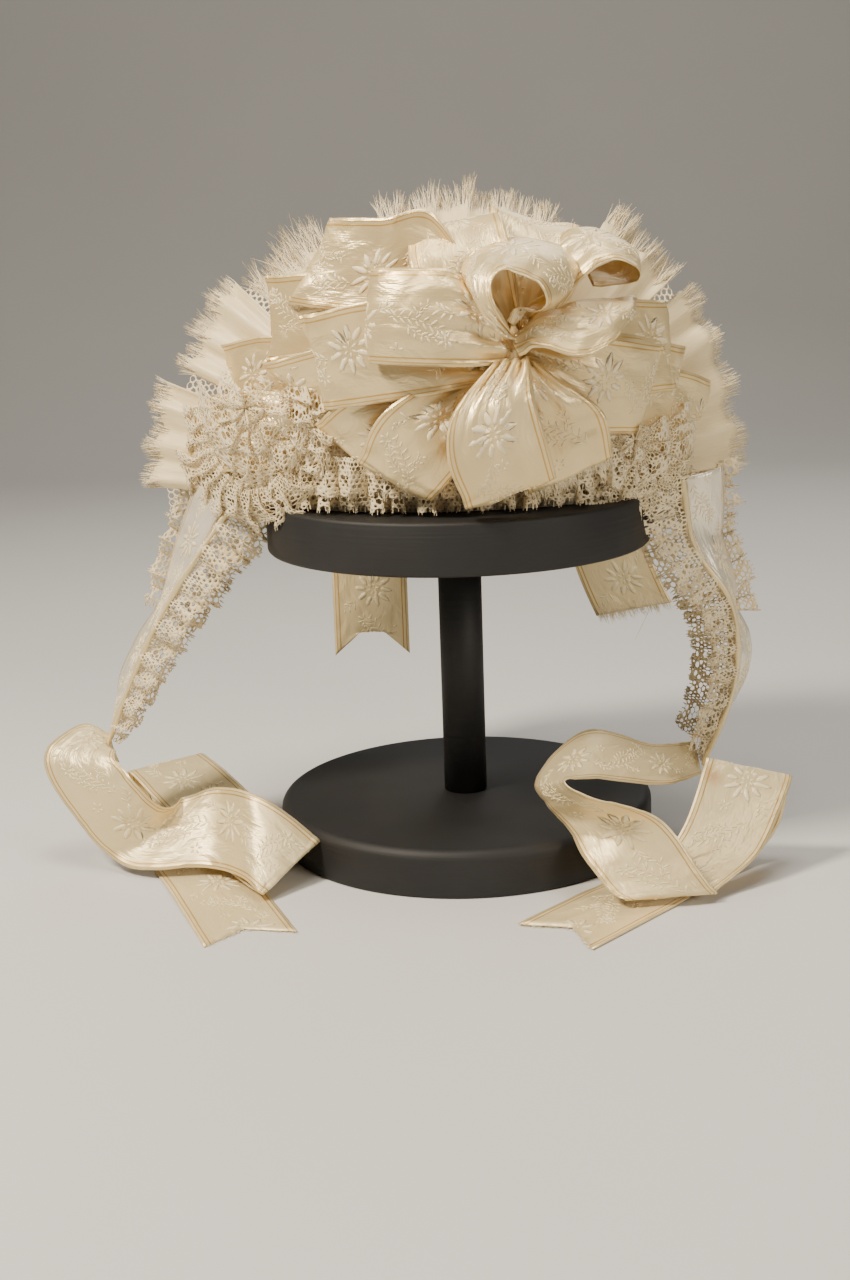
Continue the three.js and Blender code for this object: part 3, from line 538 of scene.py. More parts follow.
STAR_FLOWER = np.vstack(
    [
        petals_round(10, 2.2, 9.6, 3.8),
        petals_round(6, 3.4, 4.6, 1.5, offset=22),
        petals_round(6, 0.8, 3.0, 1.5, offset=8),
        leaves_along(3, 4.6, 1.5, 8, 40, 150) + [[-8, 5, 0, 0, 0]],
        leaves_along(4, 4.2, 1.3, 11, -45, -20) + [[8, -6, 0, 0, 0]],
    ]
)
LEAF_SPRAY = np.vstack(
    [
        leaves_along(8, 4.6, 1.3, 25, 45, 10) + [[-12, -7, 0, 0, 0]],
        leaves_along(5, 3.6, 1.2, 13, -60, 70) + [[-4, -3, 0, 0, 0]],
        leaves_along(3, 3.4, 1.1, 8, 60, -50) + [[0, -3, 0, 0, 0]],
        petals_round(7, 0.7, 3.8, 1.7, start=20) + [[9, 8, 0, 0, 0]],
        petals_round(5, 0.6, 2.8, 1.4, start=0) + [[-11, 7, 0, 0, 0]],
    ]
)
PETAL_SHAPE = np.array([[-0.5, 0], [-0.16, 0.5], [0.2, 0.42], [0.5, 0], [0.2, -0.42], [-0.16, -0.5]])
PETAL_RIDGE = np.array([[-0.22, 0], [0.24, 0]])
PETAL_SUNK, PETAL_RISE = 0.12, 0.3
BROCADE_ENDS_OFF, BROCADE_SIDES_OFF = 1.5, 4


def brocade(surface, placed, length, running, lift):
    """Raised silk floats on a ribbon. Each petal is a six-sided outline sunk a little in the cloth,
    and a ridge over its middle line, laid flat at its place and carried onto the surface."""
    turn = np.radians(placed[:, 2])
    shape = np.vstack([PETAL_SHAPE, PETAL_RIDGE])
    height = np.concatenate([np.full(6, -PETAL_SUNK), np.full(2, PETAL_RISE)])
    x = shape[None, :, 0] * placed[:, 3:4]
    y = shape[None, :, 1] * placed[:, 4:5]
    s = placed[:, 0:1] + x * np.cos(turn)[:, None] - y * np.sin(turn)[:, None]
    t = placed[:, 1:2] + x * np.sin(turn)[:, None] + y * np.cos(turn)[:, None]
    in_length = (s > BROCADE_ENDS_OFF) & (s < length - BROCADE_ENDS_OFF)
    keep = (in_length & (np.abs(t) < RIBBON_WIDTH / 2 - BROCADE_SIDES_OFF)).all(1)
    s, t = s[keep], t[keep]
    u = np.interp(s, running, np.linspace(0, 1, len(running)))
    v = t / RIBBON_WIDTH + 0.5
    normal = facing_of(surface, u, v)
    points = surface(u, v) + normal * (SILK / 2 * np.sign(lift) + height[None, :] * lift)[..., None]
    base = np.arange(len(s))[:, None, None] * 8
    ends = np.array([[0, 1, 6], [2, 3, 7], [3, 4, 7], [5, 0, 6]])[None] + base
    flanks = np.array([[1, 2, 7, 6], [4, 5, 6, 7]])[None] + base
    under = np.array([[5, 4, 3, 2, 1, 0]])[None] + base
    faces = [ends.reshape(-1, 3), flanks.reshape(-1, 4), under.reshape(-1, 6)]
    if lift > 0:
        faces = [face[:, ::-1] for face in faces]
    uv = np.stack([s / RIBBON_WIDTH, v], -1).reshape(-1, 2)
    return points.reshape(-1, 3), faces, uv, 1


MOTIF_PITCH = 27.0


def motifs_along(length, seed, pitch=MOTIF_PITCH):
    """Star flowers and leaf sprays by turns down a ribbon, each a little off the middle, with
    petals of uneven length and lean."""
    random = np.random.default_rng(seed)
    start = random.uniform(4, 14)
    placed = []
    for k, place in enumerate(np.arange(start, length, pitch)):
        motif = STAR_FLOWER if (k + seed) % 2 else LEAF_SPRAY
        turn = random.uniform(-25, 25) + 180 * (random.random() < 0.5)
        c, s = math.cos(math.radians(turn)), math.sin(math.radians(turn))
        moved = motif.copy()
        moved[:, 0] = place + c * motif[:, 0] - s * motif[:, 1]
        moved[:, 1] = random.uniform(-4, 4) + s * motif[:, 0] + c * motif[:, 1]
        moved[:, 2] = motif[:, 2] + turn + random.normal(0, 5, len(motif))
        moved[:, 3] *= random.uniform(0.72, 1.22, len(motif))
        placed.append(moved)
    return np.vstack(placed)


# Woven silk satin: smooth and glossy along the warp, ivory gone warm with age, with two gold
# stripes near each selvedge. The threads are drawn 0.5 mm apart, coarser than real, to show.
SELVEDGE_STRIPES = ((1.0, 1.5), (2.7, 3.3))
THREAD_STEP = 0.5
RUST_MARK = (0.110, -0.064, 0.044)
RUST_COLOUR = "#B9752C"
# From this radius to that one in metres, the rust fades from this share to none.
RUST_FADE = {1: 0.0015, 2: 0.0065, 3: 0.6, 4: 0.0}
# The long warp floats throw light back one way, as a brushed metal does, so the silk's metallic and
# anisotropic shares are far above a plain cloth's.
SATIN_SHINE = {
    "Metallic": 0.42,
    "Anisotropic": 0.6,
    "Specular_IOR_Level": 0.9,
    "Sheen_Weight": 0.05,
    "Sheen_Roughness": 0.35,
}


def satin(name, ivory, shade, gold, roughness):
    """A satin ribbon's material: striped selvedges by the uv across, threads and age stains."""
    made, tree, shader = new_material(name, **SATIN_SHINE)
    warp = node(tree, "ShaderNodeTangent", direction_type="UV_MAP", uv_map="cloth")
    cloth = node(tree, "ShaderNodeUVMap", uv_map="cloth").outputs[0]
    across = node(tree, "ShaderNodeSeparateXYZ", {0: cloth}).outputs[1]
    edge = node(tree, "ShaderNodeMath", {0: across, 1: 0.5}, operation="PINGPONG").outputs[0]
    stripes = node(tree, "ShaderNodeValToRGB", {"Fac": edge})
    ramp = stripes.color_ramp
    ramp.interpolation = "CONSTANT"
    ramp.elements.remove(ramp.elements[1])
    ramp.elements[0].color = (0, 0, 0, 1)
    for position, value in zip(np.ravel(SELVEDGE_STRIPES).tolist(), (1, 0, 1, 0)):
        ramp.elements.new(position / RIBBON_WIDTH).color = (value, value, value, 1)
    place = node(tree, "ShaderNodeTexCoord").outputs["Object"]
    stain = node(tree, "ShaderNodeTexNoise", {"Vector": place, "Scale": 22.0, "Detail": 4.0})
    tones = {0: stain.outputs[0], "A": linear(ivory), "B": linear(shade)}
    aged = node(tree, "ShaderNodeMix", tones, data_type="RGBA")
    tones = {0: stripes.outputs[0], "A": aged.outputs["Result"], "B": linear(gold)}
    striped = node(tree, "ShaderNodeMix", tones, data_type="RGBA")
    apart = node(tree, "ShaderNodeVectorMath", {0: place, 1: RUST_MARK}, operation="DISTANCE")
    rust = node(tree, "ShaderNodeMapRange", {0: apart.outputs["Value"], **RUST_FADE})
    tones = {0: rust.outputs[0], "A": striped.outputs["Result"], "B": linear(RUST_COLOUR)}
    marked = node(tree, "ShaderNodeMix", tones, data_type="RGBA")
    uneven = {0: stain.outputs[0], 3: roughness - 0.06, 4: roughness + 0.08}
    gloss = node(tree, "ShaderNodeMapRange", uneven)
    spun = node(tree, "ShaderNodeMapping", {"Vector": cloth, "Scale": (3, RIBBON_WIDTH / THREAD_STEP, 1)})
    thread = node(tree, "ShaderNodeTexNoise", {"Vector": spun.outputs[0], "Scale": 1.0, "Detail": 2.0})
    cords = {0: stripes.outputs[0], 1: 0.8, 2: thread.outputs[0]}
    corded = node(tree, "ShaderNodeMath", cords, operation="MULTIPLY_ADD")
    laid = node(tree, "ShaderNodeMapping", {"Vector": cloth, "Scale": (2.4, 4.2, 1)}).outputs[0]
    folds = {"Vector": laid, "Scale": 1.0, "Detail": 3.0, "Distortion": 0.7}
    creases = node(tree, "ShaderNodeTexNoise", folds).outputs[0]
    soft = node(tree, "ShaderNodeBump", {"Strength": 0.55, "Distance": 0.0022, "Height": creases})
    fine = {"Strength": 0.22, "Distance": 0.0005, "Height": corded.outputs[0], "Normal": soft.outputs[0]}
    relief = node(tree, "ShaderNodeBump", fine)
    wire(
        tree,
        shader,
        {
            "Base Color": marked.outputs["Result"],
            "Roughness": gloss.outputs[0],
            "Normal": relief.outputs[0],
            "Tangent": warp.outputs[0],
        },
    )
    return made


ribbon_satin = satin("ivory_silk_satin", "#F6E2AF", "#E6CA8E", "#CFA554", 0.33)
lappet_satin = satin("pale_silk_satin", "#FFF9EA", "#F4E8CA", "#D0AB60", 0.26)
tie_satin = satin("aged_silk_satin", "#F4E4B6", "#E8D09A", "#C49C4C", 0.42)


def raised_floats(name, colour):
    """Brocade floats: loose silk threads that lie over the ground, a little paler than it. The paler tone
    is partly their own and partly a painted sheen for the light their gloss throws back.
    """
    gloss = {"Roughness": 0.26, "Specular_IOR_Level": 0.7}
    made, tree, shader = new_material(name, Base_Color=linear(colour), **gloss)
    cloth = node(tree, "ShaderNodeUVMap", uv_map="cloth").outputs[0]
    spun = node(tree, "ShaderNodeMapping", {"Vector": cloth, "Scale": (14, 90, 1)})
    threads = node(tree, "ShaderNodeTexNoise", {"Vector": spun.outputs[0], "Scale": 1.0})
    fine = {"Strength": 0.35, "Distance": 0.0003, "Height": threads.outputs[0]}
    wire(tree, shader, {"Normal": node(tree, "ShaderNodeBump", fine).outputs[0]})
    return made


# Each float colour is a little paler than its satin ground: partly the silk's tone, partly painted sheen.
silk_floats = raised_floats("raised_silk_floats", "#F3E2BA")
tie_floats = raised_floats("aged_silk_floats", "#EDDDB2")
BOW_SILK = (ribbon_satin, silk_floats)
TIE_SILK = (tie_satin, tie_floats)


def ribbon_surface(middle, across, width, curl=1.0, depth=0.7, seed=0, bulge=0.0, pleats=0.0):
    """The surface carried along a ribbon's route: the middle line, plus the way across times the
    width, plus a shallow bow across, creases, a bulge over the first half of the route, and pleats
    that fan out from its start and fade over some 20 mm."""
    route = np.column_stack([middle, across, width])
    length, _ = length_of(lambda u, v: curve_through(route, u)[..., :3])

    def surface(u, v):
        here = curve_through(route, u)
        step = 1e-3
        ahead = curve_through(route, np.minimum(u + step, 1))[..., :3]
        behind = curve_through(route, np.maximum(u - step, 0))[..., :3]
        way = unit(here[..., 3:6])
        wide = here[..., 6]
        normal = unit(np.cross(ahead - behind, way))
        bow = curl * (1 - 4 * (v - 0.5) ** 2) + bulge * np.sin(np.pi * np.clip(u / 0.52, 0, 1))
        fade = np.exp(-((u * length / 17) ** 1.5))
        gathers = pleats * fade * np.sin(2 * np.pi * (3.6 * v + 0.3 * np.sin(3 * seed + 5 * u)))
        edges = 0.65 + 0.6 * (2 * v - 1) ** 2
        creases = crumple(u * length, v * RIBBON_WIDTH, depth, seed) * edges
        return (
            here[..., :3]
            + way * ((v - 0.5) * wide)[..., None]
            + normal * (bow + gathers + creases)[..., None]
        )

    return surface


def ribbon_piece(
    name, surface, node_name, finish, seed, sides=(), extra=()
):
    """A ribbon as long as its route, with its brocade on the shown side or the given sides, and any extra
    parts.
    """
    length, running = length_of(surface)
    columns = max(12, round(length / CLOTH_STEP))
    parts = [cloth_sheet(surface, columns, round(RIBBON_WIDTH / CLOTH_STEP), SILK)]
    placed = motifs_along(length, seed)
    shown = facing_of(surface, np.linspace(0.1, 0.4, 9), np.full(9, 0.5))[:, 1].sum()
    for hand in sides or (-np.sign(shown),):
        parts.append(brocade(surface, placed, length, running, float(hand)))
    parts += extra
    piece = put_piece(name, parts, [*finish, frayed_silk], [node_name])


# Frayed silk: single filaments pulled free of the weave, pale and a little glossy.
frayed_silk, *_ = mottled(
    "frayed_silk_filaments", "#FBF0D2", "#EDD7A4", 120.0, 3.0, Roughness=0.5, Sheen_Weight=0.4
)


def filaments(roots, ways, lengths, radius, seed, wear=2, steps=3, sway=0.1):
    """Loose threads as three-sided tapering rods: each runs from its root along its way, and
    bends aside by a random part of its length."""
    random = np.random.default_rng(seed)
    count = len(roots)
    ways = unit(ways)
    aside = unit(np.cross(ways, random.normal(size=(count, 3))))
    bend = random.normal(0, sway, count)
    t = np.linspace(0, 1, steps + 1)[None, :, None]
    lengths = lengths[:, None, None]
    line = roots[:, None] + ways[:, None] * lengths * t
    line = line + aside[:, None] * (bend[:, None, None] * lengths) * t**2
    other = unit(np.cross(ways, aside))
    turn = np.arange(3) * 2 * np.pi / 3
    thick = radius * (1 - 0.6 * t[..., None])
    ring = (
        line[:, :, None]
        + aside[:, None, None] * np.cos(turn)[None, None, :, None] * thick
        + other[:, None, None] * np.sin(turn)[None, None, :, None] * thick
    )
    one = grid_faces(steps + 1, 3, close_columns=True)
    base = np.arange(count)[:, None, None] * 3 * (steps + 1)
    quads = (one[None] + base).reshape(-1, 4)
    caps = np.array([[2, 1, 0], [3 * steps, 3 * steps + 1, 3 * steps + 2]])[None] + base
    return ring.reshape(-1, 3), [quads[:, ::-1], caps.reshape(-1, 3)[:, ::-1]], None, wear


def bow_route(rows):
    """Places in the bow: right and up of the knot and out from the bowl, in ribbon widths."""
    table = np.array([[*row, *(1, 0)[len(row) - 4 :]] for row in rows], float)
    x = KNOT_RIGHT + table[:, 0] * RIBBON_WIDTH
    z = KNOT_HEIGHT + table[:, 1] * RIBBON_WIDTH
    turn, lean = np.radians(table[:, 3]), np.radians(table[:, 5])
    across = np.stack([np.cos(turn) * np.cos(lean), -np.sin(lean), np.sin(turn) * np.cos(lean)], -1)
    middle = np.stack([x, trim_front(x, z) - table[:, 2] * RIBBON_WIDTH, z], -1)
    return middle, across, table[:, 4] * RIBBON_WIDTH


def loop_route(opening, rows):
    """A loop's route: out along its rows, round the fold, and part of the way back."""
    middle, across, width = bow_route(rows)
    if not opening:
        return middle, across, width
    depth = opening * RIBBON_WIDTH
    heading = unit(middle[-1] - middle[-2])
    fold = middle[-1] + heading * depth * 0.6 + [0, depth * 0.5, 0]
    back = middle[:0:-1] + [0, depth, 0]
    return (
        np.vstack([middle, fold, back]),
        np.vstack([across, across[-1], across[:0:-1]]),
        np.concatenate([width, width[-1:], width[:0:-1]]),
    )


# Rows of a loop that is folded back: right, up and out in ribbon widths, turn of the way across in
# degrees, width share, lean in degrees; its opening in ribbon widths comes first, and 0 is a loose end.
# Loops without an opening stand on edge or turn over. Their rows give the places in mm of both edges,
# the one nearer the eye first, from the knot out, round the open end and back. All run front to back.
BOW_LOOPS = {
    "bow_loop_front_left": (
        None, [23, -90, 234, 12, -88, 260], [7, -97, 233, 1, -94, 271], [-13, -98, 234, -14, -95, 273],
        [-30, -94, 235, -27, -91, 273], [-34, -87, 235, -31, -85, 273], [-28, -84, 235, -26, -82, 273],
        [-12, -85, 234, -12, -84, 272], [6, -84, 234, 2, -82, 270],
    ),
    "bow_loop_lower_middle": (
        0.2, [-0.02, -0.1, 0.9, 5, 0.6], [-0.24, -0.66, 1.0, 26], [-0.08, -1.32, 0.9, 20],
    ),
    "bow_loop_roll": (
        None, [23, -97, 244, 21, -99, 244], [22, -103, 251, 15, -101, 252], [18, -107, 258, 9, -98, 261],
        [16, -107, 265, 4, -88, 271], [19, -106, 271, 9, -76, 277], [25, -105, 271, 24, -68, 282],
        [31, -103, 268, 40, -66, 281], [36, -101, 262, 49, -67, 277], [37, -98, 256, 53, -72, 270],
        [32, -94, 254, 46, -78, 262], [26, -92, 255, 33, -82, 258], [23, -91, 250, 24, -88, 251],
    ),
    "bow_loop_right": (
        None, [26, -96, 238, 28, -84, 243], [33, -98, 241, 38, -78, 251], [49, -97, 235, 52, -70, 257],
        [64, -90, 239, 68, -64, 258], [70, -78, 245, 77, -58, 257], [62, -72, 242, 68, -56, 256],
        [45, -74, 241, 46, -62, 252],
    ),
    "bow_loop_middle_left": (
        0.18, [-0.04, -0.1, 0.65, 100, 0.6], [-1.1, 0.04, 0.75, 97], [-1.95, -0.07, 0.7, 103],
    ),
    "bow_loop_lower_right": (
        0.18, [0.14, -0.08, 0.6, 80, 0.6], [0.82, -0.38, 0.62, 75], [1.42, -0.5, 0.5, 71],
    ),
    "bow_end_bottom": (
        0, [0.12, -0.1, 0.66, -15, 0.5], [0.42, -0.72, 0.68, 10], [0.6, -1.36, 0.58, 24],
    ),
    "bow_loop_bottom_left": (
        0.15, [-0.1, -0.14, 0.52, -30, 0.6], [-0.86, -0.8, 0.55, -30], [-1.2, -1.26, 0.48, -30, 0.9],
    ),
    "bow_loop_upper_left": (
        0.2, [-0.02, 0.16, 0.55, 100, 0.6], [-0.8, 0.88, 0.62, 82], [-1.42, 0.88, 0.66, 74],
        [-2.0, 0.92, 0.58, 62],
    ),
    "bow_loop_low_left": (
        0.16, [-0.06, -0.12, 0.36, 110, 0.6], [-1.36, -0.34, 0.38, 112], [-2.26, -0.45, 0.34, 125, 0.95],
    ),
    "bow_loop_hem_left": (
        0.17, [-0.12, -0.16, 0.3, 140, 0.6], [-1.26, -0.74, 0.34, 140], [-1.72, -1.02, 0.3, 138, 0.9],
    ),
    "bow_loop_top_right": (
        0.24, [0.1, 0.14, 0.45, -8, 0.6], [0.26, 0.7, 0.5, -8], [0.32, 1.22, 0.36, -12],
    ),
    "bow_loop_top_left": (
        0.24, [-0.05, 0.14, 0.3, 6, 0.6], [-0.44, 0.76, 0.85, 8], [-0.54, 1.22, 0.74, 8],
    ),
    "bow_loop_far_top_right": (
        None, [33, -70, 249, 36, -50, 257], [51, -74, 264, 47, -46, 281], [67, -72, 272, 60, -44, 287],
        [79, -66, 267, 74, -42, 281], [76, -61, 262, 71, -40, 278], [60, -60, 263, 56, -42, 280],
    ),
    "bow_loop_far_right": (
        0.14, [0.14, -0.02, 0.3, 95, 0.5], [0.86, -0.06, 0.4, 95], [1.66, -0.1, 0.34, 97],
    ),
    "bow_loop_side_right": (
        0.14, [0.14, -0.1, 0.16, 85, 0.5], [0.96, -0.38, 0.24, 80], [1.76, -0.58, 0.2, 76],
    ),
    "bow_loop_side_left": (
        0.14, [-0.12, 0.06, 0.2, 92, 0.5], [-1.4, 0.3, 0.26, 90], [-2.5, 0.33, 0.22, 90, 0.95],
    ),
}
# A folded loop is pinched at its root to this share of the solid's width. Pleats, the bow across a
# loop, its creases and its bulge are in mm.
ROOT_PINCH = 0.62
PLEATS = 1.9
FOLDED_BOW_ACROSS, FOLDED_CREASES, FOLDED_BULGE = 1.0, 2.6, 3.4
EDGED_BOW_ACROSS, EDGED_CREASES = 3, 1.9
FRAYED_THREADS, FRAYED_THREAD = 260, 0.11


def edged_route(rows):
    """The middle line, way across and width of a ribbon from the places of its two edges."""
    edges = np.array(rows, float)
    gap = edges[:, 3:] - edges[:, :3]
    return (edges[:, :3] + edges[:, 3:]) / 2, unit(gap), np.linalg.norm(gap, axis=1)


for number, (name, (opening, *rows)) in enumerate(BOW_LOOPS.items()):
    edged = opening is None
    middle, across, width = edged_route(rows) if edged else loop_route(opening, rows)
    width[0] *= 1 if edged else ROOT_PINCH
    flat = ribbon_surface(middle, across, width, seed=number + 3)
    away = np.sign(facing_of(flat, np.array([0.25]), np.array([0.5]))[0, 1])
    surface = ribbon_surface(
        middle,
        across,
        width,
        curl=-away * EDGED_BOW_ACROSS if edged else FOLDED_BOW_ACROSS,
        depth=EDGED_CREASES if edged else FOLDED_CREASES,
        seed=number + 3,
        bulge=0.0 if edged else -away * FOLDED_BULGE,
        pleats=PLEATS,
    )
    extra = []
    if opening == 0:
        v = np.random.default_rng(5).uniform(0.02, 0.98, FRAYED_THREADS)
        ends = surface(np.ones_like(v), v)
        way = ends - surface(np.full_like(v, 0.96), v)
        way += np.random.default_rng(6).normal(0, 0.25, way.shape)
        reach = np.random.default_rng(7).uniform(1.5, 6, len(v))
        extra = [filaments(ends, way, reach, FRAYED_THREAD, 8)]
    ribbon_piece(name + "_silk", surface, name, BOW_SILK, number + 1, extra=extra)


def side_route(rows, opening):
    """A short loop's route off the crown: clock and tip in degrees, off in ribbon widths, turn."""
    table = np.array(rows, float)
    fold = table[-1] + [0, 4, 0, 0]
    table = np.vstack([table, fold, table[-1], table[1]])
    under = np.concatenate([np.zeros(len(rows)), [opening / 2, opening, opening]])
    middle = on_crown(table[:, 0], table[:, 1], 0.5 + (table[:, 2] - under) * RIBBON_WIDTH)
    turn = np.radians(table[:, 3])
    across = np.stack([np.cos(turn), 0 * turn, np.sin(turn)], -1)
    return middle, across, np.full(len(table), RIBBON_WIDTH * 0.9)


# Rows: clock and tip in degrees, off the crown in ribbon widths, turn of the way across in degrees.
SIDE_LOOP_OPENING = 0.12
SIDE_LOOP_CREASES = 2.4
SIDE_LOOPS = {
    "side_loop_right": [[22, 44, 0.0, 80], [20, 62, 0.3, 78], [14, 80, 0.42, 76]],
    "side_loop_left": [[140, 50, 0.0, 96], [148, 62, 0.28, 94], [155, 78, 0.42, 92]],
    "side_loop_low_left": [[158, 50, 0.0, 96], [162, 62, 0.34, 84], [166, 76, 0.5, 78]],
}
for number, (name, rows) in enumerate(SIDE_LOOPS.items()):
    route = side_route(rows, SIDE_LOOP_OPENING)
    surface = ribbon_surface(*route, depth=SIDE_LOOP_CREASES, seed=number + 31, pleats=PLEATS)
    ribbon_piece(name + "_silk", surface, name, BOW_SILK, number + 21)


# Bow knot: the loops' gathered roots, wound over with a turn of the same ribbon.
KNOT_HALF_WIDTH = 7.0
KNOT_HALF_HEIGHT = 9.0
KNOT_STANDS_OUT = 44.0
KNOT_RINGS, KNOT_SIDES = 41, 96
knot_back = crown_front(KNOT_RIGHT, KNOT_HEIGHT) - GAP


def knot_surface(u, v):
    """A long egg that stands out from the crown, with deep folds that run out to its tip."""
    tip = np.pi * (0.02 + 0.96 * u)
    turn = 2 * np.pi * v
    folds = 1 + 0.16 * np.sin(7 * turn + 2 * np.sin(3 * tip)) * np.sin(tip)
    return np.stack(
        [
            KNOT_RIGHT + KNOT_HALF_WIDTH * np.sin(tip) * np.cos(turn) * folds,
            knot_back - KNOT_STANDS_OUT / 2 * (1 - np.cos(tip)),
            KNOT_HEIGHT + KNOT_HALF_HEIGHT * np.sin(tip) * np.sin(turn) * folds,
        ],
        -1,
    )


along, around = np.linspace(0, 1, KNOT_RINGS), np.linspace(0, 1, KNOT_SIDES, endpoint=False)
u, v = np.meshgrid(along, around, indexing="ij")
knot_points = knot_surface(u, v).reshape(-1, 3)
knot_quads = grid_faces(KNOT_RINGS, KNOT_SIDES, close_columns=True)
first_ring = np.arange(KNOT_SIDES)
knot_ends = np.stack([first_ring[::-1], (KNOT_RINGS - 1) * KNOT_SIDES + first_ring])
knot_uv = np.stack([u * 1.2, 0.2 + 0.6 * np.abs(2 * v - 1)], -1).reshape(-1, 2)
knot_parts = [(knot_points, [knot_quads, knot_ends], knot_uv, 0)]
put_piece("bow_knot_silk", knot_parts, [ribbon_satin], ["bow_knot"])


# Ruches: strips of plain silk pleated on to the crown, their outer edge frayed into a fringe.
# Columns: clock from and to in degrees, tip of the seam, reach and setback of the edge, pleats, the
# share where the fray starts, and how loose its threads are.
FRINGE_REACH = 40.0
PLEAT_DEPTH = 2.2
SEAM_OFF = 0.85
RUCHE_SILK = 0.4
RUCHE_THREAD = 0.24
WEFT_STEP = 0.7
THREADS_IN_A_MM = 5.5
TUFT, MOST_TUFTS = 2.2, 400
WOVEN_OVERLAP = 0.05
FRINGES = {
    "fringe_right": (3, 38, 62, 0.85, -4, 4, 0.86, 0.6),
    "fringe_top_right": (41, 58, 56, 0.86, -10, 2, 0.8, 0.8),
    "fringe_top": (62, 106, 64, 0.5, 6, 5, 0.72, 0.9),
    "fringe_top_left": (118, 135, 56, 0.68, -8, 3, 0.66, 1.3),
    "fringe_upper_left": (137, 156, 60, 0.92, -4, 3, 0.84, 0.8),
    "fringe_left": (159, 178, 62, 1.12, -2, 3, 0.88, 0.6),
}


def fan_surface(start, end, seam, reach, setback, pleats, seed):
    """Runs straight from a seam on the crown to the outer edge; pleats and creases deepen outward."""

    def surface(u, v):
        clock = end + (start - end) * u
        root = on_crown(clock, seam + 0 * u, SEAM_OFF + 0 * u)
        edge = on_crown(clock, 90 + 0 * u, reach * FRINGE_REACH + 0 * u)
        edge[..., 1] = CROWN_SETBACK + setback
        normal = unit(on_crown(clock, seam + 0 * u, 1 + 0 * u) - on_crown(clock, seam + 0 * u, 0 * u))
        fine = 0.5 * np.sin(2 * np.pi * (pleats * 1.9 * u + 0.35 * np.sin(9 * u + seed)))
        wave = v * (PLEAT_DEPTH * (1 + np.sin(2 * np.pi * pleats * u)) + fine)
        ragged = crumple(u * 60, v * 30, 1.8, seed) * v
        return root + (edge - root) * v[..., None] + normal * (wave + ragged)[..., None]

    return surface


# Ruche silk: thin plain-woven silk, dry and cream, with its weft drawn 0.7 mm apart to show.
ruche_silk, tree, shader = new_material("plain_woven_silk", Roughness=0.42, Sheen_Weight=0.1)
cloth = node(tree, "ShaderNodeUVMap", uv_map="cloth").outputs[0]
weft = node(tree, "ShaderNodeMapping", {"Vector": cloth, "Scale": (RIBBON_WIDTH / WEFT_STEP, 4, 1)})
threads = node(tree, "ShaderNodeTexNoise", {"Vector": weft.outputs[0], "Scale": 1.0, "Detail": 3.0})
tones = {0: threads.outputs[0], "A": linear("#F5E6C1"), "B": linear("#E0C890")}
tint = node(tree, "ShaderNodeMix", tones, data_type="RGBA")
relief = node(tree, "ShaderNodeBump", {"Strength": 0.4, "Distance": 0.0005, "Height": threads.outputs[0]})
wire(tree, shader, {"Base Color": tint.outputs["Result"], "Normal": relief.outputs[0]})


def woven_part(surface, share):
    """The part of a ruche that is still woven, out to a share of its width."""
    return lambda u, v: surface(u, v * share)


for number, (name, (*row, fray_starts, loose)) in enumerate(FRINGES.items()):
    surface = fan_surface(*row, seed=number)
    length, _ = length_of(surface, v=0.8)
    seam_length, _ = length_of(surface, v=0.05)
    random = np.random.default_rng(number + 60)
    seam_point, edge_point = surface(np.array([0.5, 0.5]), np.array([0.0, 1.0]))
    depth = float(np.linalg.norm(edge_point - seam_point))
    woven = woven_part(surface, fray_starts + WOVEN_OVERLAP)
    parts = [cloth_sheet(woven, round(length / 1.1), 14, RUCHE_SILK, across=depth * fray_starts)]
    count = int(length * THREADS_IN_A_MM)
    share = random.uniform(0, 1, count)
    start = random.uniform(fray_starts - 0.04, fray_starts + WOVEN_OVERLAP, count)
    roots = surface(share, start)
    place = share * length
    tuft = np.floor(place / TUFT + 0.4 * np.sin(place / 3))
    lean = np.random.default_rng(number + 80).normal(0, 1, (MOST_TUFTS, 3))[tuft.astype(int)]
    ways = unit(surface(share, start + 0.1) - roots) + lean * loose * [0.08, 0.2, 0.08]
    ways += random.normal(0, 0.07, ways.shape)
    even = 0.94 + 0.1 * np.sin(place / 6.1 + number) + 0.05 * loose * lean[:, 0]
    reach = depth * (1.03 - start) * np.clip(even + random.normal(0, 0.09, count), 0.4, 1.2)
    fan = put_piece(name + "_silk", parts, [ruche_silk], [name])
    strands = filaments(roots, ways, reach, RUCHE_THREAD, number + 70, wear=0, sway=0.14 * loose)
    fray = put_piece(name + "_fray", [strands], [frayed_silk])


# Net frill: a strip of hexagon net gathered behind the ruches, stiff enough to stand up.
# Rows: clock on the crown in degrees, reach past the crown's outline in FRINGE_REACH.
FRILL_REACH = (
    (0, 30, 46, 60, 90, 119, 135, 160, 180),
    (0.8, 0.76, 0.84, 0.5, 0.34, 0.32, 0.72, 0.95, 1.08),
)
FRILL_FROM, FRILL_TO, FRILL_SEAM, FRILL_SETBACK, FRILL_GATHERS = -5, 185, 84, 16, 16
FRILL_WIDTH, FRILL_MESH = 36.0, 3.0
THREAD = 0.36
# A honeycomb's rows are this share of a mesh apart.
HONEYCOMB_ROW = 0.866


def frill_surface(u, v):
    """From the seam behind the crown's outline out to the reach at each clock, in even gathers."""
    clock = FRILL_TO + (FRILL_FROM - FRILL_TO) * u
    held = np.clip(clock, 1, 179)
    root = on_crown(held, FRILL_SEAM + 0 * u, SEAM_OFF + 0 * u)
    edge = on_crown(clock, 90 + 0 * u, np.interp(held, *FRILL_REACH) * FRINGE_REACH)
    edge[..., 1] = CROWN_SETBACK + FRILL_SETBACK
    point = root + (edge - root) * v[..., None]
    point[..., 1] += 2 * np.sin(2 * np.pi * FRILL_GATHERS * u) * v
    return point


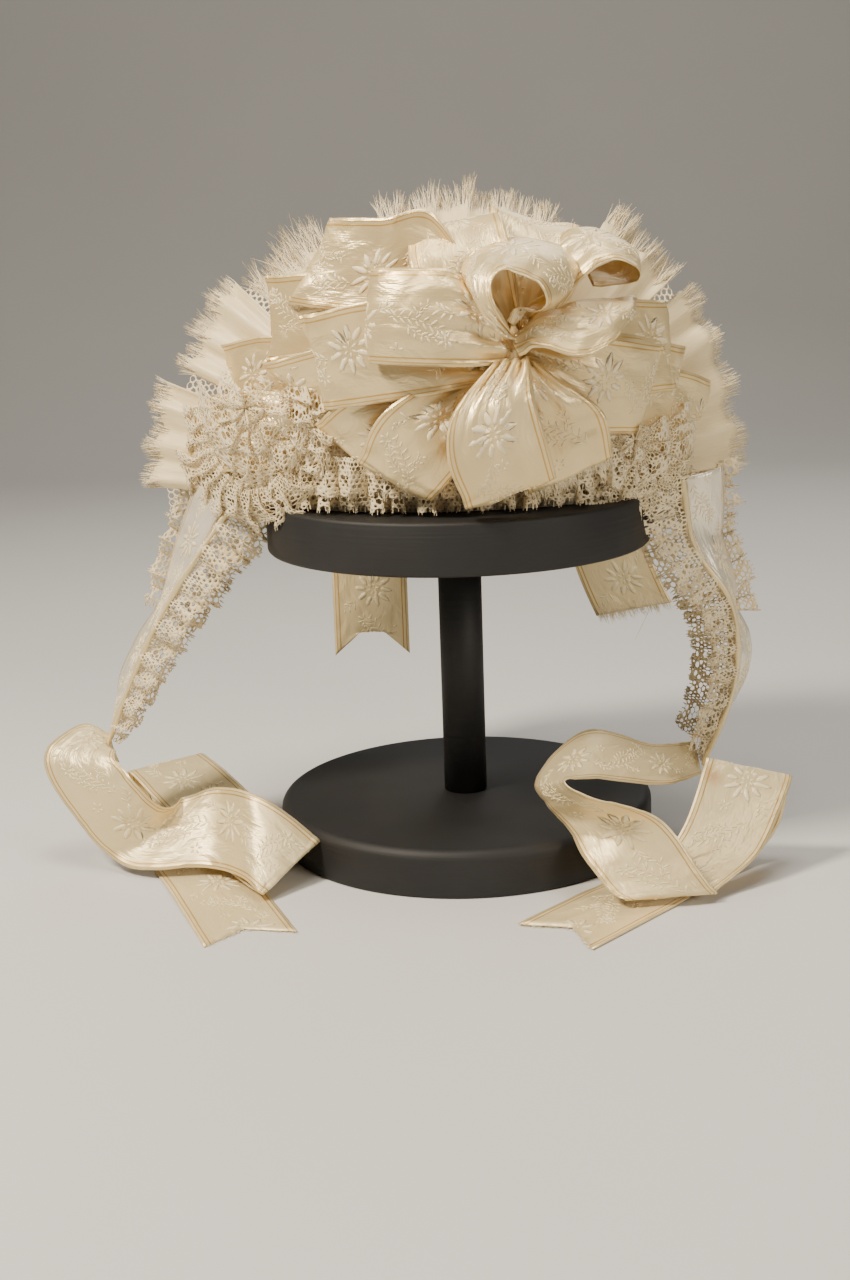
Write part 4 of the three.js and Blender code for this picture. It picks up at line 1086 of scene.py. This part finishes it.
def net_of(surface, long, wide, mesh, openness, edge_at=None, warp=0.0):
    """A net of six-sided meshes on surface(u, v) as a closed solid.

    The flat cut is long by wide, on a honeycomb of the given mesh, whose corners are pulled up to
    warp mm out of true. Each cell inside the free edge edge_at(s) is a ring between its outline
    and a smaller copy of it, whose size is openness(s, t). Both sides, the holes and the outline
    are walled. The second thing returned is the area that the threads cover."""
    rows = int(wide / (mesh * HONEYCOMB_ROW)) + 1
    columns = int(long / mesh) + 1
    i, j = np.meshgrid(np.arange(columns), np.arange(rows), indexing="ij")
    centre_s = (i + 0.5 * (j % 2)) * mesh
    centre_t = (j + 0.6) * mesh * HONEYCOMB_ROW
    free = edge_at(centre_s) if edge_at else np.full_like(centre_s, wide)
    keep = (centre_t < free - 0.35 * mesh) & (centre_s < long)
    centre_s, centre_t = centre_s[keep], centre_t[keep]
    turn = np.radians(30 + 60 * np.arange(6))
    out_s = centre_s[:, None] + mesh / math.sqrt(3) * np.cos(turn)
    out_t = centre_t[:, None] + mesh / math.sqrt(3) * np.sin(turn)
    grid = np.round(np.stack([out_s, out_t], -1).reshape(-1, 2), 2)
    corners, which = np.unique(grid, axis=0, return_inverse=True)
    which = which.reshape(-1, 6)
    pull_s = np.sin(corners[:, 0] / 1.9 + 2 * np.sin(corners[:, 1] / 2.3))
    pull_t = np.sin(corners[:, 1] / 1.7 + 2 * np.sin(corners[:, 0] / 2.9) + 1)
    corners = corners + warp * np.stack([pull_s, pull_t], -1)
    cell = corners[which]
    middle_of_cell = cell.mean(1, keepdims=True)
    hole = openness(centre_s, centre_t)
    inside = middle_of_cell + (cell - middle_of_cell) * hole[:, None, None]
    cells = len(centre_s)
    inner = len(corners) + np.arange(cells * 6).reshape(-1, 6)
    k, after = np.arange(6), (np.arange(6) + 1) % 6
    ring = np.stack([which[:, k], which[:, after], inner[:, after], inner[:, k]], -1).reshape(-1, 4)
    flat = np.vstack([corners, inside.reshape(-1, 2)])
    u, v = np.clip(flat[:, 0] / long, 0, 1), np.clip(flat[:, 1] / wide, 0, 1)
    middle, normal = surface(u, v), facing_of(surface, u, v)
    count = len(flat)
    points = np.vstack([middle + normal * THREAD / 2, middle - normal * THREAD / 2])
    edges = np.stack([which[:, k], which[:, after]], -1).reshape(-1, 2)
    _, first, times = np.unique(np.sort(edges, 1), axis=0, return_index=True, return_counts=True)
    rim = edges[first[times == 1]]
    outline = np.stack([rim[:, 1], rim[:, 0], rim[:, 0] + count, rim[:, 1] + count], -1)
    holes = [inner[:, k], inner[:, after], inner[:, after] + count, inner[:, k] + count]
    walls = np.stack(holes, -1).reshape(-1, 4)
    uv = flat / RIBBON_WIDTH
    covered = float((mesh**2 * HONEYCOMB_ROW * (1 - hole**2)).sum())
    return (points, [ring, ring[:, ::-1] + count, outline, walls], np.vstack([uv, uv]), 0), covered


# Cotton lace: bobbin lace of soft unbleached thread, matt, its clothwork dense beside open net.
cotton_lace, tree, shader, place = mottled(
    "unbleached_cotton_lace", "#F6E9C8", "#DEC898", 60.0, 5.0, Roughness=0.8, Sheen_Weight=0.3
)
thread = node(tree, "ShaderNodeTexNoise", {"Vector": place, "Scale": 1800.0})
relief = node(tree, "ShaderNodeBump", {"Strength": 0.6, "Distance": 0.0003, "Height": thread.outputs[0]})
wire(tree, shader, {"Normal": relief.outputs[0]})


# What net and lace cover of their cut is kept between these two shares.
LEAST_COVER, MOST_COVER = 0.31, 0.99
# A plain net's holes have this share of a cell's width.
NET_HOLES = 0.74


def lace_piece(name, parts, covered, flat, replaces):
    """A lace piece. The area that its threads cover is clamped to shares of its cut size and not used
    further.
    """
    piece = put_piece(name, parts, [cotton_lace], replaces)
    width, long = flat
    area = float(np.clip(covered, LEAST_COVER * width * long, MOST_COVER * width * long))


frill_long, _ = length_of(frill_surface, v=0.7, steps=1600)
frill, covered = net_of(
    frill_surface,
    frill_long,
    FRILL_WIDTH,
    FRILL_MESH,
    lambda s, t: NET_HOLES + 0.04 * np.sin(s / 3),
    warp=0.12,
)
net_frill = put_piece("net_frill_net", [frill], [cotton_lace], ["net_frill"])
max(covered, LEAST_COVER * FRILL_WIDTH * frill_long) / 1e6


# Lace edgings: a scalloped bobbin lace with a flower in each repeat, gathered on a heading thread.
LACE_WIDTH = 22.0
LACE_REPEAT = 15.0
SCALLOP = 7.5
SCALLOP_DEPTH = 2.6
LACE_MESH = 2.2
PICOT_STEP = 1.5
PICOT_REACH = 1.3
PICOT_THREAD = 0.42
# The flower's ring of holes lies between two radii, its clothwork reaches to the third, and the
# eye between two flowers has its own. The heading and the edge are solid over these widths.
FLOWER_HOLES_FROM, FLOWER_HOLES_TO, FLOWER_RADIUS, EYE_RADIUS = 1.2, 3.4, 5.6, 1.9
HEADING_WIDTH, EDGE_WIDTH = 1.6, 3.6


def lace_openness(width):
    """How open a lace is: dense clothwork along the heading and the scallops and round each
    flower, whose holes stand in a ring about a solid middle, and plain net elsewhere."""

    def openness(s, t):
        x = (s + LACE_REPEAT / 2) % LACE_REPEAT - LACE_REPEAT / 2
        y = t - width * 0.58
        radius = np.hypot(x, y)
        ring = (radius > FLOWER_HOLES_FROM) & (radius < FLOWER_HOLES_TO)
        cloth = (radius >= FLOWER_HOLES_TO) & (radius < FLOWER_RADIUS)
        other = np.abs(x) - LACE_REPEAT / 2
        eye = np.hypot(other, t - width * 0.36) < EYE_RADIUS
        heading = t < HEADING_WIDTH
        edge = t > width - EDGE_WIDTH
        open_net = 0.7 + 0.12 * np.sin(s / 1.1) * np.sin(t / 1.3)
        dense = 0.36 + 0.1 * np.sin(s * 2.1 + t)
        return np.where(ring | eye, 0.9, np.where(cloth | heading | edge, dense, open_net))

    return openness


def scalloped(width):
    """The free edge: round scallops with a small point where two meet."""
    return lambda s: width - SCALLOP_DEPTH * (1 - np.abs(np.sin(np.pi * s / SCALLOP)) ** 0.7)


def picots_on(surface, long, wide, seed):
    """Loops of thread that stand out along the scalloped edge, one in each PICOT_STEP."""
    s = np.arange(0.6, long - 0.6, PICOT_STEP)
    edge = scalloped(wide)(s)
    foot = surface(s / long, (edge - 1.5) / wide)
    tip = surface(s / long, (edge + PICOT_REACH * 0.6) / wide)
    reach = np.linalg.norm(tip - foot, axis=1)
    return filaments(foot, tip - foot, reach, PICOT_THREAD, seed, wear=0)


def gathered_lace(heading, fall, out, width, gathers, depth, seed):
    """Hangs from heading(u) along fall(u); waves across out(u) deepen to the free edge, of uneven
    size, and fold back on themselves a little along the heading."""
    phases = np.random.default_rng(seed).uniform(0, 2 * np.pi, 4)

    def surface(u, v):
        turn = 2 * np.pi * gathers * u
        uneven = turn + 0.8 * np.sin(turn * 0.37 + phases[0])
        swell = 0.8 + 0.35 * np.sin(turn * 0.23 + phases[1])
        wave = depth * swell * (0.25 + 0.9 * v) * np.sin(uneven)
        fold = 0.45 * depth * v * np.sin(2 * uneven + phases[2])
        curl = 0.12 * width(u) * v**2 * np.sin(uneven * 0.5 + phases[3])
        side = np.cross(fall(u), out(u))
        return (
            heading(u)
            + fall(u) * (width(u) * v)[..., None]
            + out(u) * (wave + curl)[..., None]
            + side * fold[..., None]
        )

    return surface


def gathered_piece(name, surface, width, replaces, mesh=LACE_MESH):
    """One run of gathered edging in lace."""
    long, _ = length_of(surface, v=0.75, steps=1200)
    part, covered = net_of(surface, long, width, mesh, lace_openness(width), scalloped(width), warp=0.28)
    parts = [part, picots_on(surface, long, width, 3)]
    lace_piece(name, parts, covered, (width, long), replaces)


def constant(*way):
    """A direction that is the same all along."""
    return lambda u: np.broadcast_to(unit(np.array(way, float)), (*np.shape(u), 3))


# Brim laces: two tiers of the edging across the front, over which the wearer's face would look out.
# Columns: half width in the crown's, foot above the crown's and off the crown in mm, gathers.
BRIM_SHARE = 0.8
BRIM_LACE = LACE_WIDTH * BRIM_SHARE
BRIM_TIERS = {"brim_lace_upper": (0.84, 8, 10, 13), "brim_lace_lower": (0.82, 1.2, 5, 14)}


def brim_tier(half, foot, off, gathers, seed):
    """A tier that follows the crown's front and hangs from its heading."""

    def heading(u):
        x = (2 * u - 1) * half * CROWN_HALF_WIDTH
        y = crown_front(x, CROWN_FOOT) - off
        return np.stack([x, y, 0 * x + CROWN_FOOT + foot + BRIM_LACE], -1)

    fall, out = constant(0, -0.12, -1), constant(0, -1, 0)
    return gathered_lace(heading, fall, out, lambda u: BRIM_LACE + 0 * u, gathers * 1.05, 4.0, seed)


for number, (name, tier) in enumerate(BRIM_TIERS.items()):
    gathered_piece(name + "_edging", brim_tier(*tier, number + 11), BRIM_LACE, [name])


# Back lace: one more run of the edging, sewn round the crown's back over the end of its net.
BACK_HALF, BACK_GATHERS, BACK_RISE = 78, 14, 1.2
BACK_LACE_MESH = 2.9
back_rise = BACK_RISE + BRIM_LACE
back_share = math.sqrt(1 - (back_rise / CROWN_RISE) ** 2)


def back_heading(u):
    """Round the crown's back at the lace's height."""
    around = np.radians(90 + BACK_HALF - 2 * BACK_HALF * u)
    return np.stack(
        [
            (CROWN_HALF_WIDTH * back_share + 1) * np.cos(around),
            CROWN_SETBACK + (CROWN_HALF_DEPTH * back_share + 1) * np.sin(around),
            0 * around + CROWN_FOOT + back_rise,
        ],
        -1,
    )


def back_out(u):
    """Straight out from the crown's middle."""
    return unit(back_heading(u) * [1, 1, 0] - [0, CROWN_SETBACK, 0])


surface = gathered_lace(
    back_heading,
    lambda u: unit(back_out(u) * 0.3 - [0, 0, 1]),
    back_out,
    lambda u: BRIM_LACE + 0 * u,
    BACK_GATHERS * 1.4,
    2.0,
    41,
)
gathered_piece("back_lace_edging", surface, BRIM_LACE, ["back_lace"], mesh=BACK_LACE_MESH)


# Lace puffs: wide lace gathered on a short thread, so that it spreads into fans, which are tacked
# one over another on the crown's lower sides.
# Columns: middle right and up of the foot in mm, start and end in degrees from the right, radius of
# the heading, width and distance off the bowl in mm, gathers.
PUFF_MESH = 2.7
PUFFS = {
    "lace_puff_left": (
        (-90, 42, 175, 375, 30, 24, 13, 15),
        (-88, 44, 160, 390, 18, 23, 18, 12),
        (-90, 45, 120, 420, 5, 22, 22, 9),
        (-91, 47, 90, 450, 0.6, 13, 27, 6),
        (-94, 30, 190, 325, 22, 30, 15.5, 9),
    ),
    "lace_puff_right": (
        (80, 24, 165, 385, 19, 22, 9, 12),
        (78, 25, 150, 400, 8, 20, 13, 9),
        (78, 27, 100, 440, 0.6, 11, 17, 6),
        (82, 16, 205, 350, 16, 28, 11.5, 8),
    ),
}


def lace_fan(x, rise, start, end, heading, width, off, gathers, seed):
    """A fan on the bowl round a middle: its flutes deepen outward and its edge lifts unevenly."""
    phases = np.random.default_rng(seed).uniform(0, 2 * np.pi, 3)

    def surface(u, v):
        turn = np.radians(start + (end - start) * u)
        uneven = 2 * np.pi * gathers * u + 0.9 * np.sin(5 * turn + phases[0])
        ragged = 0.86 + 0.1 * np.sin(3 * turn + phases[1]) + 0.05 * np.sin(11 * turn + phases[2])
        radius = heading + width * v * ragged
        sway = 0.14 * v * np.cos(uneven + phases[2]) + 0.08 * v * np.sin(radius / 4 + 7 * turn)
        at_x = x + 0.74 * radius * np.cos(turn + sway)
        at_z = CROWN_FOOT + rise + 0.85 * radius * np.sin(turn + sway)
        flute = 1.9 * (0.3 + v) * np.sin(uneven) + crumple(radius, 9 * turn, 2.8, seed)
        at_y = trim_front(at_x, at_z) - off - flute - 2.5 * np.sin(np.pi * v)
        return np.stack([at_x, at_y, at_z], -1)

    return surface


for number, (name, fans) in enumerate(PUFFS.items()):
    parts, covered, long_in_all = [], 0, 0
    for place, row in enumerate(fans):
        width = row[5]
        surface = lace_fan(*row, 10 * number + place)
        long, _ = length_of(surface, v=0.7, steps=900)
        holes, edge = lace_openness(width), scalloped(width)
        part, thread = net_of(surface, long, width, PUFF_MESH, holes, edge, warp=0.5)
        parts += [part, picots_on(surface, long, width, place)]
        covered += thread * LACE_WIDTH / width
        long_in_all += long
    lace_piece(name + "_lace", parts, covered, (LACE_WIDTH, long_in_all), [name])


# Lappets: a net band hangs down each cheek, with lace gathered along both sides of it and a
# ribbon laid along its outer edge. Columns: side of the face, foot outward and setback in mm, height
# of the foot, seam as mm outward of the foot and share of the drop, width share at the foot.
LAPPET_BAND = 22.0
LAPPET_RIBBON = 22.0
LAPPET_HEAD = CROWN_FOOT + 6
LAPPET_GATHER_DEPTH = 4.2
LAPPET_LACE_MESH = 2.6
LAPPET_NET_MESH = 3.1
LAPPET_MOTIF_PITCH = 30
SEAM_OVERLAP = 1.6
LAPPETS = {
    "left": (-1, 168, -16, 54, [[-70, 0], [-46, 0.26], [-26, 0.51], [-10, 0.77], [2, 1]], 0.45),
    "right": (1, 107, -22, 38, [[-5, 0], [1, 0.23], [17, 0.42], [21, 0.58], [18, 0.76], [5, 1]], 0.8),
}
# Columns: setback in bands, lean back, way (1 is inward), width at head and end, share, gathers.
LAPPET_LACES = {
    "front_lace": (-0.07, -0.3, 1, 0.95, 0.72, 0.97, 9),
    "back_lace": (1.04, 0.2, 1, 1.2, 0.9, 0.97, 8),
    "outer_lace": (1.1, -0.15, -1, 1.5, 0.7, 0.5, 5),
}


def mix(a, b, share):
    """From a to b by a share."""
    return a + (b - a) * share


def lappet_surfaces(side, outward, setback, foot, seam, narrowing):
    """The band, the ribbon, its folded selvedge and the laces of one lappet, all on one seam."""
    drop = LAPPET_HEAD - foot
    stations = np.array([[side * (outward + x), setback, LAPPET_HEAD - drop * y] for x, y in seam], float)

    def taper(u):
        return mix(1, narrowing, u * u)

    def route(u):
        return curve_through(stations, np.asarray(u, float))

    def inward(u):
        """Across the lappet towards the cheek, square to its run."""
        ahead = route(np.minimum(np.asarray(u) + 1e-3, 1)) - route(np.maximum(np.asarray(u) - 1e-3, 0))
        return unit(np.cross([0, 1, 0], ahead) * side)

    def band(u, v):
        point = route(u)
        point[..., 1] += LAPPET_BAND * taper(u) * v + 1
        return point

    def ribbon(u, v):
        """Faces forward at the head and turns back along the band lower down."""
        wave = np.sin(np.pi * np.clip((u - 0.5) / 0.4, 0, 1))
        turn = np.radians(mix(15, 76, np.minimum(1, u / 0.45)) - 16 * wave)
        outward_way = -inward(u)
        wide = (v * LAPPET_RIBBON * taper(u))[..., None]
        point = route(u) + outward_way * (np.cos(turn)[..., None] * wide)
        puffed = 4.2 * np.sin(np.pi * v) * taper(u) * (0.6 + 0.4 * np.sin(19 * u + side))
        point[..., 1] += np.sin(turn) * wide[..., 0] - puffed
        creases = crumple(u * 130, v * 22, 1.9, 5 + side) * (1 - 0.6 * v)
        return point + outward_way * creases[..., None]

    def selvedge(u, v):
        """The ribbon's gold selvedge turned over the seam: a low arch in front of it."""
        arch = 2.6 + 0.8 * np.sin(np.pi * v)
        across = (0.9 - 2.2 * v) * (0.9 + 0.3 * np.sin(u * 23))
        return route(u) + inward(u) * across[..., None] - arch[..., None] * [0, 1, 0]

    def lace(back, lean, way, head, end, until, gathers, seed):
        """An edging sewn along the seam down to a share of it, and gathered towards its way."""

        def heading(u):
            point = route(u * until)
            point[..., 1] += back * LAPPET_BAND * (taper(u * until) if back > 0 else 1)
            return point - inward(u * until) * way * SEAM_OVERLAP

        return gathered_lace(
            heading,
            lambda u: unit(inward(u * until) * way + [0, lean, 0]),
            lambda u: unit(inward(u * until) * lean - [0, 1, 0]),
            lambda u: LACE_WIDTH * mix(head, end, u) * taper(u * until),
            gathers * 1.1,
            LAPPET_GATHER_DEPTH,
            seed,
        )

    return band, ribbon, selvedge, lace


for label, lappet in LAPPETS.items():
    side = lappet[0]
    band, ribbon, selvedge, lace = lappet_surfaces(*lappet)
    band_name, ribbon_name = f"lappet_band_{label}", f"lappet_ribbon_{label}"
    long, _ = length_of(band)
    even_net = (LAPPET_NET_MESH, lambda s, t: NET_HOLES + 0 * s)
    part, covered = net_of(band, long, LAPPET_BAND, *even_net, warp=0.15)
    lace_piece(band_name + "_net", [part], covered, (LAPPET_BAND, long), [band_name])

    long, running = length_of(ribbon)
    placed = motifs_along(long, 3 + side, pitch=LAPPET_MOTIF_PITCH)
    parts = [cloth_sheet(ribbon, 90, 12, SILK)]
    parts += [brocade(ribbon, placed, long, running, hand) for hand in (1.0, -1.0)]
    parts.append(cloth_sheet(selvedge, 90, 5, SILK, across=0.0, wear=2))
    finish = [lappet_satin, silk_floats, tie_satin]
    laid = put_piece(ribbon_name + "_silk", parts, finish, [ribbon_name])
    flat = (LAPPET_RIBBON / 1000, long / 1000)

    for number, (name, row) in enumerate(LAPPET_LACES.items()):
        width = LACE_WIDTH * (row[3] + row[4]) / 2
        surface = lace(*row, number * 5 + side + 20)
        own = f"lappet_{name}_{label}"
        gathered_piece(own + "_edging", surface, width, [own], mesh=LAPPET_LACE_MESH)


# Ties: two long ends of the same ribbon, sewn to the lappets' tips, that loop over the table.
# Row columns: middle x, y, z and way across x, y, z in ribbon widths from the lappet's foot on the
# table, and the width share.
TIE_LEFT = [
    [0.0, -0.02, 1.28, 0.35, -0.7, -0.6, 0.45],
    [-0.16, -0.2, 1.46, 0.75, -0.55, -0.3, 0.7],
    [-0.3, -0.46, 1.28, 0.93, -0.36, 0.05, 1],
    [-0.02, -0.72, 0.9, 0.8, -0.3, 0.5, 1],
    [0.34, -0.68, 0.46, 0.78, 0.0, 0.6, 0.9],
    [0.74, -0.66, 0.42, 0.25, 0.75, 0.6, 1],
    [1.24, -0.72, 0.5, 0.05, 0.64, 0.76, 1],
    [1.74, -1.24, 0.56, 0.1, 0.6, 0.8, 1],
    [2.14, -1.46, 0.34, 0.5, 0.7, 0.4, 1],
    [2.16, -1.34, 0.24, 0.6, 0.75, 0.35, 1],
    [1.6, -0.5, 0.28, 0.7, 0.6, 0.25, 1],
    [0.9, 0.7, 0.42, 0.8, 0.5, 0.15, 1],
    [0.34, 1.5, 0.6, 0.86, 0.45, 0.1, 1],
    [0.28, 1.68, 0.4, 0.87, 0.44, 0.06, 1],
    [0.34, 1.3, 0.1, 0.88, 0.42, 0.0, 1],
    [0.6, 0.4, 0.0, 0.92, 0.39, 0.0, 1],
    [1.2, -1.06, 0.0, 0.92, 0.39, 0.0, 1],
    [1.9, -2.82, 0.0, 0.94, 0.33, 0.0, 1],
]
TIE_RIGHT = [
    [0.1, 0.14, 0.95, 0.1, -0.75, -0.6, 0.45],
    [-0.5, -0.62, 1.14, 0.15, -0.85, -0.45, 0.7],
    [-1.3, -1.14, 1.44, 0.0, -0.97, -0.24, 1],
    [-1.74, -1.44, 1.26, 0.27, -0.94, 0.22, 1],
    [-1.54, -1.66, 1.06, 0.47, -0.82, 0.32, 1],
    [-1.16, -1.7, 0.84, 0.75, -0.5, 0.42, 1],
    [-0.9, -1.9, 0.58, 0.94, -0.05, 0.33, 1],
    [-0.66, -2.06, 0.26, 0.98, 0.08, 0.15, 1],
    [-0.5, -2.1, 0.12, 0.99, 0.13, 0.0, 1],
    [-0.46, -1.98, 0.12, 0.99, 0.13, 0.0, 1],
    [0.1, -1.56, 0.5, 0.93, 0.22, -0.28, 1],
    [0.48, -1.02, 1.08, 0.97, 0.0, -0.25, 1],
    [0.52, -0.84, 1.1, 0.97, 0.0, -0.25, 1],
    [0.42, -0.64, 0.5, 0.92, -0.3, -0.16, 1],
    [0.16, -0.66, 0.1, 0.8, -0.6, 0.0, 1],
    [-0.5, -1.38, 0.0, 0.73, -0.68, 0.0, 1],
    [-1.8, -2.82, 0.0, 0.73, -0.68, 0.0, 1],
]
SWALLOWTAIL = 0.3
TIE_THREADS, TIE_THREAD = 90, 0.12
TIES = (("tie_left", "left", TIE_LEFT, 51), ("tie_right", "right", TIE_RIGHT, 58))


def swallowtailed(surface, notch):
    """Draws the far end back along the middle, by notch ribbon widths, into two points."""

    def cut(u, v):
        last, before = surface(np.ones_like(u), v), surface(np.full_like(u, 0.97), v)
        back = (1 - 2 * np.abs(v - 0.5)) * notch * RIBBON_WIDTH
        share = np.maximum(0, u - 0.9) / 0.1
        return surface(u, v) - unit(last - before) * (back * share)[..., None]

    return cut


def above_table(surface):
    """Keeps a cloth on the table: what would sink below it lies flat on top."""

    def lifted(u, v):
        point = surface(u, v)
        point[..., 2] = np.maximum(point[..., 2], 0.6 + 0.15 * np.sin(17 * u + 3 * v))
        return point

    return lifted


for name, side, rows, seed in TIES:
    hand, outward, setback, *_ = LAPPETS[side]
    stations = np.array(rows, float)
    origin = np.array([hand * outward, setback, 0.85])
    middle, width = stations[:, :3] * RIBBON_WIDTH + origin, stations[:, 6] * RIBBON_WIDTH
    surface = ribbon_surface(middle, stations[:, 3:6], width, curl=0, depth=0.9, seed=seed)
    surface = above_table(swallowtailed(surface, SWALLOWTAIL))
    v = np.random.default_rng(seed).uniform(0.02, 0.98, TIE_THREADS)
    ends = surface(np.ones_like(v), v)
    way = ends - surface(np.full_like(v, 0.985), v)
    way = way + np.random.default_rng(seed + 1).normal(0, 0.5, way.shape)
    way[:, 2] = np.abs(way[:, 2]) * 0.2
    reach = np.random.default_rng(seed + 2).uniform(0.6, 2.5, TIE_THREADS)
    extra = [filaments(ends, way, reach, TIE_THREAD, seed)]
    ribbon_piece(name + "_silk", surface, name, TIE_SILK, seed, (1, -1), extra)


# Back ends: two ribbon ends sewn over the back edging that hang behind the disc, one cut to a
# swallowtail and one frayed. Columns: right of the middle, foot, slant, notch.
TAILS = {"tail_swallow": (-0.48, 67, 0, 0.45), "tail_frayed": (0.68, 86, 24, 0)}
TAIL_HEAD_RISE = LACE_WIDTH * 0.9
TAIL_HANGS_OFF = 13
TAIL_THREADS = 700


def hanging_end(right_share, foot, slant):
    """Hangs from the crown's back, off the disc's edge, and slants aside by the square of its drop."""
    nearest = abs(right_share) * CROWN_HALF_WIDTH - RIBBON_WIDTH / 2
    share = math.hypot(nearest / CROWN_HALF_WIDTH, TAIL_HEAD_RISE / CROWN_RISE)
    rear = CROWN_SETBACK + CROWN_HALF_DEPTH * math.sqrt(1 - share * share)

    def surface(u, v):
        x = right_share * CROWN_HALF_WIDTH + (v - 0.5) * RIBBON_WIDTH + slant * u * u
        y = rear + mix(0.5, TAIL_HANGS_OFF, np.minimum(1, 4 * u)) + crumple(u * 110, v * 40, 0.9, 9)
        z = mix(CROWN_FOOT + TAIL_HEAD_RISE, foot, u) + slant / 4 * v * u
        return np.stack([x, y, z], -1)

    return surface


for name, (right_share, foot, slant, notch) in TAILS.items():
    hung = hanging_end(right_share, foot, slant)
    surface = swallowtailed(hung, notch) if notch else hung
    extra = []
    if not notch:
        random = np.random.default_rng(91)
        v = random.uniform(0.02, 0.98, TAIL_THREADS)
        start = random.uniform(0.93, 1.0, TAIL_THREADS)
        ends = hung(start, v)
        way = hung(np.ones_like(v), v) - hung(np.full_like(v, 0.9), v)
        way = unit(way) + random.normal(0, 0.12, way.shape)
        frayed = filaments(ends, way, random.uniform(3, 7, TAIL_THREADS), TIE_THREAD, 92, wear=0)
        # One thread hangs far out of the frayed end.
        root, fall = hung(np.array([0.99]), np.array([0.75])), np.array([[-0.5, -0.2, -1.0]])
        loose = filaments(root, fall, np.array([21.0]), 0.2, 95, wear=0, steps=10)
        extra = [put_piece(name + "_fray", [frayed, loose], [frayed_silk])]
    ribbon_piece(
        name + "_silk", surface, name, TIE_SILK, 12, sides=(1, -1)
    )
